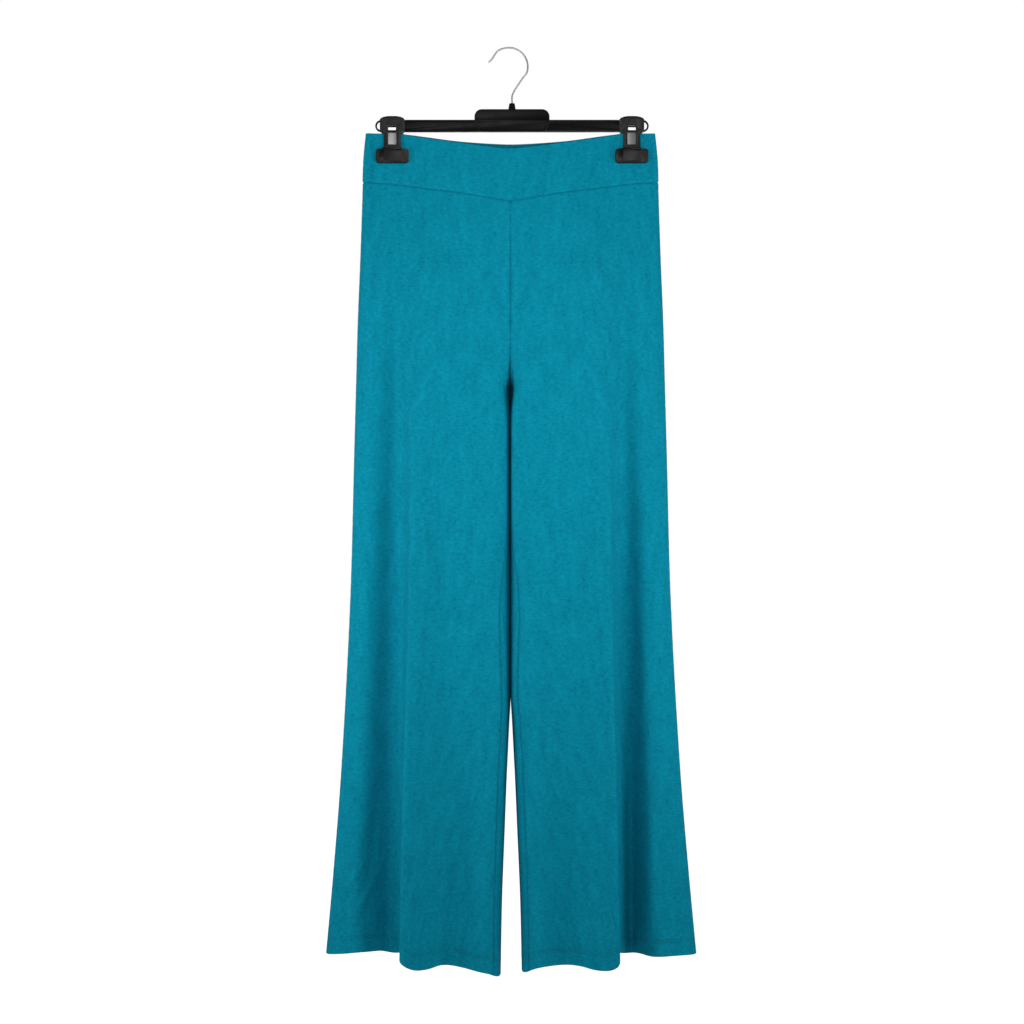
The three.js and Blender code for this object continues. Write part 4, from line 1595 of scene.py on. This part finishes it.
def knit_group() -> bpy.types.NodeTree:
    """Plain knit: columns of V shapes, as a height and a painted shade that darkens the colour in the
    hollows between loops.

    Returns:
        The group.
    """
    nodes, given, result = new_group(
        "plain_knit",
        {"Vector": ("Vector", None), "Wale": ("Float", 0.001), "Course": ("Float", 0.0008)},
        ["Height", "Shade"],
    )
    place, wale, course = given.outputs[:3]
    across, down = nodes.add("SeparateXYZ", {0: place}).outputs[:2]
    shift = nodes.math("MULTIPLY_ADD", nodes.noise(place, 90.0, 2.0), 0.9, -0.45)
    u = nodes.math("ADD", nodes.math("DIVIDE", across, wale), shift)
    v = nodes.math("DIVIDE", down, course)
    inside = nodes.math("ABSOLUTE", nodes.math("SUBTRACT", nodes.math("FRACT", u), 0.5))
    column = nodes.math("COSINE", nodes.math("MULTIPLY", inside, 2 * math.pi))
    slanted = nodes.math("MULTIPLY_ADD", inside, 1.6, v)
    loop = nodes.math("SINE", nodes.math("MULTIPLY", slanted, 2 * math.pi))
    height = nodes.math("MULTIPLY_ADD", column, 0.32, nodes.math("MULTIPLY_ADD", loop, 0.16, 0.5))
    # painted shade: the lower parts of the knit are darker
    nodes.fill(result, {"Height": height, "Shade": nodes.math("MULTIPLY_ADD", height, 0.5, 0.72)})
    return nodes.tree


def heather_group() -> bpy.types.NodeTree:
    """Heather: short flecks along the courses over a fine grain and faint upright streaks.

    Returns:
        The group.
    """
    nodes, given, result = new_group(
        "heather",
        {
            "Vector": ("Vector", None), "Fleck": ("Float", 0.0019), "Length": ("Float", 0.006),
            "Grain": ("Float", 0.0044), "Streak": ("Float", 0.011),
        },
        ["Fleck", "Grain", "Streak"],
    )
    place, fleck, length, grain, streak = given.outputs[:5]
    split = nodes.add("SeparateXYZ", {0: place}).outputs
    across, down = nodes.math("DIVIDE", split[0], length), nodes.math("DIVIDE", split[1], fleck)
    laid = nodes.add("CombineXYZ", {0: across, 1: down}).outputs[0]
    upright = nodes.divided(nodes.stretched(place, (1.0, 0.9, 1.0)), grain)
    drawn = nodes.divided(nodes.stretched(place, (1.0, 0.3, 1.0)), streak)
    nodes.fill(result, {
        "Fleck": nodes.spread(nodes.noise(laid, 1.0, 2.5, 0.6)),
        "Grain": nodes.noise(upright, 1.0, 2.0, 0.6),
        "Streak": nodes.noise(drawn, 1.0, 1.5, 0.6),
    })
    return nodes.tree


def grain_group() -> bpy.types.NodeTree:
    """Fine grain of moulded plastic or brushed metal: a height and an uneven roughness.

    Returns:
        The group.
    """
    nodes, given, result = new_group(
        "surface_grain",
        {
            "Vector": ("Vector", None), "Grain": ("Float", 0.0004),
            "Stretch": ("Vector", (1.0, 1.0, 1.0)), "Low": ("Float", 0.3), "High": ("Float", 0.5),
        },
        ["Height", "Roughness"],
    )
    place, grain, stretch, low, high = given.outputs[:5]
    drawn = nodes.stretched(place, stretch)
    nodes.fill(result, {
        "Height": nodes.noise(nodes.divided(drawn, grain), 1.0, 3.0),
        "Roughness": nodes.spread(nodes.noise(drawn, 70.0, 4.0), low, high),
    })
    return nodes.tree


# ---------------------------------------------------------------- finishes


def linear(red: int, green: int, blue: int) -> tuple[float, float, float, float]:
    """Turns an sRGB colour into a linear one.

    Args:
        red: 0 to 255.
        green: 0 to 255.
        blue: 0 to 255.

    Returns:
        Linear red, green, blue and alpha.
    """
    values = [c / 255 for c in (red, green, blue)]
    made = [c / 12.92 if c <= 0.04045 else ((c + 0.055) / 1.055) ** 2.4 for c in values]
    return (*made, 1.0)


def new_material(name: str) -> tuple[bpy.types.Material, Nodes, bpy.types.Node]:
    """Starts a material.

    Args:
        name: its name.

    Returns:
        The material, its nodes and its Principled shader.
    """
    material = bpy.data.materials.new(name)
    material.use_nodes = True
    nodes = Nodes(material.node_tree)
    return material, nodes, material.node_tree.nodes["Principled BSDF"]


@dataclass(frozen=True)
class JerseyFinish:
    """Heathered jersey: yarn colours, knit size and sheen."""

    name: str = "teal_jersey"
    dark: tuple[int, int, int] = (2, 118, 143)
    light: tuple[int, int, int] = (9, 152, 180)
    wale: float = 0.00085
    course: float = 0.0007
    relief: float = 0.00012
    sheen: float = 0.03
    # most painted shade at the seams and the fork: the share by which the colour darkens
    seam_shade: float = 0.6

    def make(self, knit: bpy.types.NodeTree, heather: bpy.types.NodeTree) -> bpy.types.Material:
        """Builds the material.

        Args:
            knit: the knit group.
            heather: the heather group.

        Returns:
            The material.
        """
        material, nodes, shader = new_material(self.name)
        cloth = nodes.add("UVMap", uv_map="cloth").outputs[0]
        size = {"Vector": cloth, "Wale": self.wale, "Course": self.course}
        loops = nodes.add("Group", size, node_tree=knit).outputs
        yarn = nodes.add("Group", {"Vector": cloth}, node_tree=heather).outputs
        streak = nodes.math("MULTIPLY_ADD", yarn["Streak"], 0.75, -0.68)
        worn = nodes.math("MULTIPLY_ADD", yarn["Grain"], 1.15, streak)
        share = nodes.math("MULTIPLY_ADD", yarn["Fleck"], 0.45, worn)
        yarns = {"Factor": share, 6: linear(*self.dark), 7: linear(*self.light)}
        colour = nodes.add("Mix", yarns, data_type="RGBA", clamp_factor=True).outputs[2]
        # painted shade: the colour is darkened by the seam and fork attribute and by the knit's painted
        # shade in its hollows
        seam = nodes.add("Attribute", attribute_name="painted_shade").outputs["Fac"]
        depth = nodes.math("MULTIPLY_ADD", seam, -self.seam_shade, 1.0)
        shade = nodes.math("MULTIPLY", loops["Shade"], depth)
        grey = nodes.add("CombineColor", {0: shade, 1: shade, 2: shade}).outputs[0]
        both = {"Factor": 1.0, 6: colour, 7: grey}
        shaded = nodes.add("Mix", both, data_type="RGBA", blend_type="MULTIPLY").outputs[2]
        nodes.fill(shader, {
            "Base Color": shaded,
            "Normal": nodes.bump(loops["Height"], self.relief, 0.8),
            "Roughness": 0.92,
            "Specular IOR Level": 0.05,
            "Sheen Weight": self.sheen,
            "Sheen Roughness": 0.45,
            "Sheen Tint": linear(20, 190, 215),
        })
        return material


@dataclass(frozen=True)
class GrainFinish:
    """Moulded plastic or metal: colour, roughness range and grain."""

    name: str
    colour: tuple[int, int, int]
    low: float
    high: float
    grain: float
    relief: float
    metallic: float = 0.0
    stretch: tuple[float, float, float] = (1.0, 1.0, 1.0)
    specular: float = 0.5

    def make(self, grain: bpy.types.NodeTree) -> bpy.types.Material:
        """Builds the material.

        Args:
            grain: the grain group.

        Returns:
            The material.
        """
        material, nodes, shader = new_material(self.name)
        inputs = {
            "Vector": nodes.add("TexCoord").outputs["Object"], "Grain": self.grain,
            "Stretch": self.stretch, "Low": self.low, "High": self.high,
        }
        worn = nodes.add("Group", inputs, node_tree=grain).outputs
        nodes.fill(shader, {
            "Base Color": linear(*self.colour),
            "Normal": nodes.bump(worn["Height"], self.relief, 0.6),
            "Roughness": worn["Roughness"],
            "Metallic": self.metallic,
            "Specular IOR Level": self.specular,
        })
        return material


GRAIN_FINISHES = {
    "thread": GrainFinish(
        "teal_thread", (9, 128, 150), low=0.6, high=0.75, grain=0.0002, relief=0.00004, specular=0.2
    ),
    "plastic": GrainFinish(
        "black_plastic", (7, 7, 8), low=0.36, high=0.5, grain=0.00035, relief=0.00001, specular=0.13
    ),
    "clip": GrainFinish(
        "clip_plastic", (15, 15, 16), low=0.4, high=0.55, grain=0.00035, relief=0.00001, specular=0.28
    ),
    "pad": GrainFinish("black_pad", (20, 20, 21), low=0.6, high=0.8, grain=0.0005, relief=0.00005),
    "chrome": GrainFinish(
        "plated_wire", (180, 181, 183), low=0.36, high=0.42, grain=0.004, relief=0.0, metallic=1.0
    ),
    "strip": GrainFinish(
        "spring_strip", (138, 138, 139), low=0.4, high=0.55, grain=0.0005, relief=0.00002,
        metallic=1.0, stretch=(1.0, 1.0, 0.08),
    ),
}


@dataclass
class Finishes:
    """All the materials, made once."""

    jersey: bpy.types.Material = field(init=False)
    thread: bpy.types.Material = field(init=False)
    plastic: bpy.types.Material = field(init=False)
    clip: bpy.types.Material = field(init=False)
    pad: bpy.types.Material = field(init=False)
    chrome: bpy.types.Material = field(init=False)
    strip: bpy.types.Material = field(init=False)

    def __post_init__(self) -> None:
        """Builds the groups and the materials from them."""
        self.jersey = JerseyFinish().make(knit_group(), heather_group())
        grain = grain_group()
        for name, finish in GRAIN_FINISHES.items():
            setattr(self, name, finish.make(grain))


def dress(piece: Piece, material: bpy.types.Material, nodes: Sequence[str]) -> Piece:
    """Gives a piece its material, its body and the solids that it stands for.

    Args:
        piece: the object.
        material: its material.
        nodes: names of the solids that it replaces.

    Returns:
        The piece.
    """
    piece.data.materials.clear()
    piece.data.materials.append(material)
    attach(piece, "root")
    if nodes:
        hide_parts(*nodes)
    LOG.info("made %s: %d faces", piece.name, len(piece.data.polygons))
    return piece


# ---------------------------------------------------------------- assemblies


@dataclass
class Garment:
    """The trousers: two bands, four leg panels and the hems' stitches."""

    finishes: Finishes
    form: TrouserForm = field(default_factory=TrouserForm)

    def build(self) -> None:
        """Makes and dresses the garment."""
        legs: dict[tuple[Half, Face], tuple[Piece, ClothSheet]] = {}
        for half in Half:
            for face in Face:
                panel = LegPanel(self.form, half, face)
                piece, sheet = panel.build()
                piece.name = f"{panel.node}_cloth"
                dress(piece, self.finishes.jersey, [panel.node])
                legs[half, face] = (piece, sheet)
        for half in Half:
            sheets = [legs[half, face][1] for face in Face]
            stitches = Coverstitch().build(f"hem_{half.word}_stitches", sheets)
            dress(stitches, self.finishes.thread, [])
            for face in Face:
                piece, sheet = legs[half, face]
        for face in Face:
            band = Waistband(self.form, face)
            piece, sheet = band.build()
            piece.name = f"{band.node}_cloth"
            dress(piece, self.finishes.jersey, [band.node])


def box_of(node: str) -> tuple[np.ndarray, np.ndarray]:
    """Lowest and highest corner of a solid of the frame, in millimetres."""
    low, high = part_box(node)
    return np.array(low) / MM, np.array(high) / MM


@dataclass
class Hanger:
    """The bar hanger with its hook and two clips."""

    finishes: Finishes

    def build(self) -> None:
        """Makes and dresses the hanger, with its places read from the frame."""
        low, high = box_of("hanger_bar")
        bar = HangerBar(BAR_TOP_Z, float(low[2]), float(high[0]), float(high[2]))
        body, collar = bar.build()
        dress(body, self.finishes.plastic, ["hanger_bar"])
        dress(collar, self.finishes.plastic, [])
        hook_low, hook_high = box_of("hanger_hook")
        hook = HangerHook(float(hook_high[1] - hook_low[1]), float(hook_low[2]))
        dress(hook.build(), self.finishes.chrome, ["hanger_hook"])
        for half in Half:
            side = half.word
            jaw_low, jaw_high = box_of(f"clip_{side}_front_jaw")
            middle = float(jaw_low[0] + jaw_high[0]) / 2
            clip = Clip(half, middle, float(jaw_low[2]), float(jaw_high[2]), float(low[2]))
            for face in Face:
                node = f"clip_{side}_{face.word}_jaw"
                dress(clip.jaw(face), self.finishes.clip, [node])
                dress(clip.pad(face), self.finishes.pad, [])
            dress(clip.spring(), self.finishes.strip, [f"clip_{side}_spring"])


@dataclass(frozen=True)
class Lamp:
    """A soft square light: its place and side length in metres, and its watts."""

    name: str
    place: tuple[float, float, float]
    size: float
    power: float

    def build(self, aim: tuple[float, float, float]) -> None:
        """Sets up the light.

        Args:
            aim: the point that it faces.
        """
        data = bpy.data.lights.new(self.name, "AREA")
        data.size = self.size
        data.energy = self.power
        made = link_object(self.name, data)
        made.location = self.place
        made.visible_camera = False
        made.rotation_euler = (Vector(aim) - Vector(self.place)).to_track_quat("-Z", "Y").to_euler()


@dataclass
class Studio:
    """Pale floor, soft lights, white surroundings and the camera, in metres."""

    camera_distance: float = 2.8
    camera_height: float = -0.5933
    lens: float = 76.9
    floor_z: float = -1.62
    floor_half: float = 6.0
    world_light: float = 0.31
    aim: tuple[float, float, float] = (0.0, 0.0, -0.5)
    lamps: tuple[Lamp, ...] = (
        Lamp("key", (0.03, -0.8, -0.2), 0.5, 3.1),
        Lamp("left", (-0.76, -0.4, -0.64), 0.5, 3.5),
        Lamp("right", (0.76, -0.4, -0.64), 0.5, 2.9),
        Lamp("back", (0.4, 1.6, -0.2), 1.2, 6.0),
    )

    def surroundings(self) -> None:
        """White to the camera, softer light on the object."""
        world = bpy.data.worlds.new("studio")
        bpy.context.scene.world = world
        world.use_nodes = True
        nodes = Nodes(world.node_tree)
        seen = nodes.tree.nodes["Background"]
        nodes.fill(seen, {"Color": (1, 1, 1, 1), "Strength": 1.0})
        around = nodes.add("Background", {"Color": (1, 1, 1, 1), "Strength": self.world_light})
        direct = nodes.add("LightPath").outputs["Is Camera Ray"]
        chosen = nodes.add("MixShader", {0: direct, 1: around.outputs[0], 2: seen.outputs[0]})
        nodes.fill(nodes.tree.nodes["World Output"], {"Surface": chosen.outputs[0]})

    def floor(self) -> None:
        """A wide pale floor below the hems."""
        size = self.floor_half
        corners = np.array([(-size, -size), (size, -size), (size, size), (-size, size)])
        vertices = np.concatenate([corners, np.full((4, 1), self.floor_z)], axis=1)
        made = new_object("floor", vertices, np.array([[0, 1, 2, 3]]))
        material, nodes, shader = new_material("pale_floor")
        direct = nodes.add("LightPath").outputs["Is Camera Ray"]
        nodes.fill(shader, {
            "Base Color": (0.9, 0.9, 0.9, 1),
            "Roughness": 0.8,
            "Emission Color": (1, 1, 1, 1),
            "Emission Strength": nodes.math("MULTIPLY", direct, 0.8),
        })
        made.data.materials.append(material)

    def camera(self) -> None:
        """The camera, level and straight in front."""
        data = bpy.data.cameras.new("camera")
        data.lens = self.lens
        data.sensor_width = 36
        made = link_object("camera", data)
        made.location = (0, -self.camera_distance, self.camera_height)
        made.rotation_euler = (math.radians(90), 0, 0)
        bpy.context.scene.camera = made

    def build(self) -> None:
        """Sets up the whole studio."""
        self.camera()
        self.surroundings()
        self.floor()
        for lamp in self.lamps:
            lamp.build(self.aim)
        bpy.context.scene.view_settings.view_transform = "Standard"


def main() -> None:
    """Builds the scene."""
    logging.basicConfig(level=logging.INFO, format="%(name)s: %(message)s")
    finishes = Finishes()
    Garment(finishes).build()
    Hanger(finishes).build()
    Studio().build()


if __name__ == "__main__":
    main()
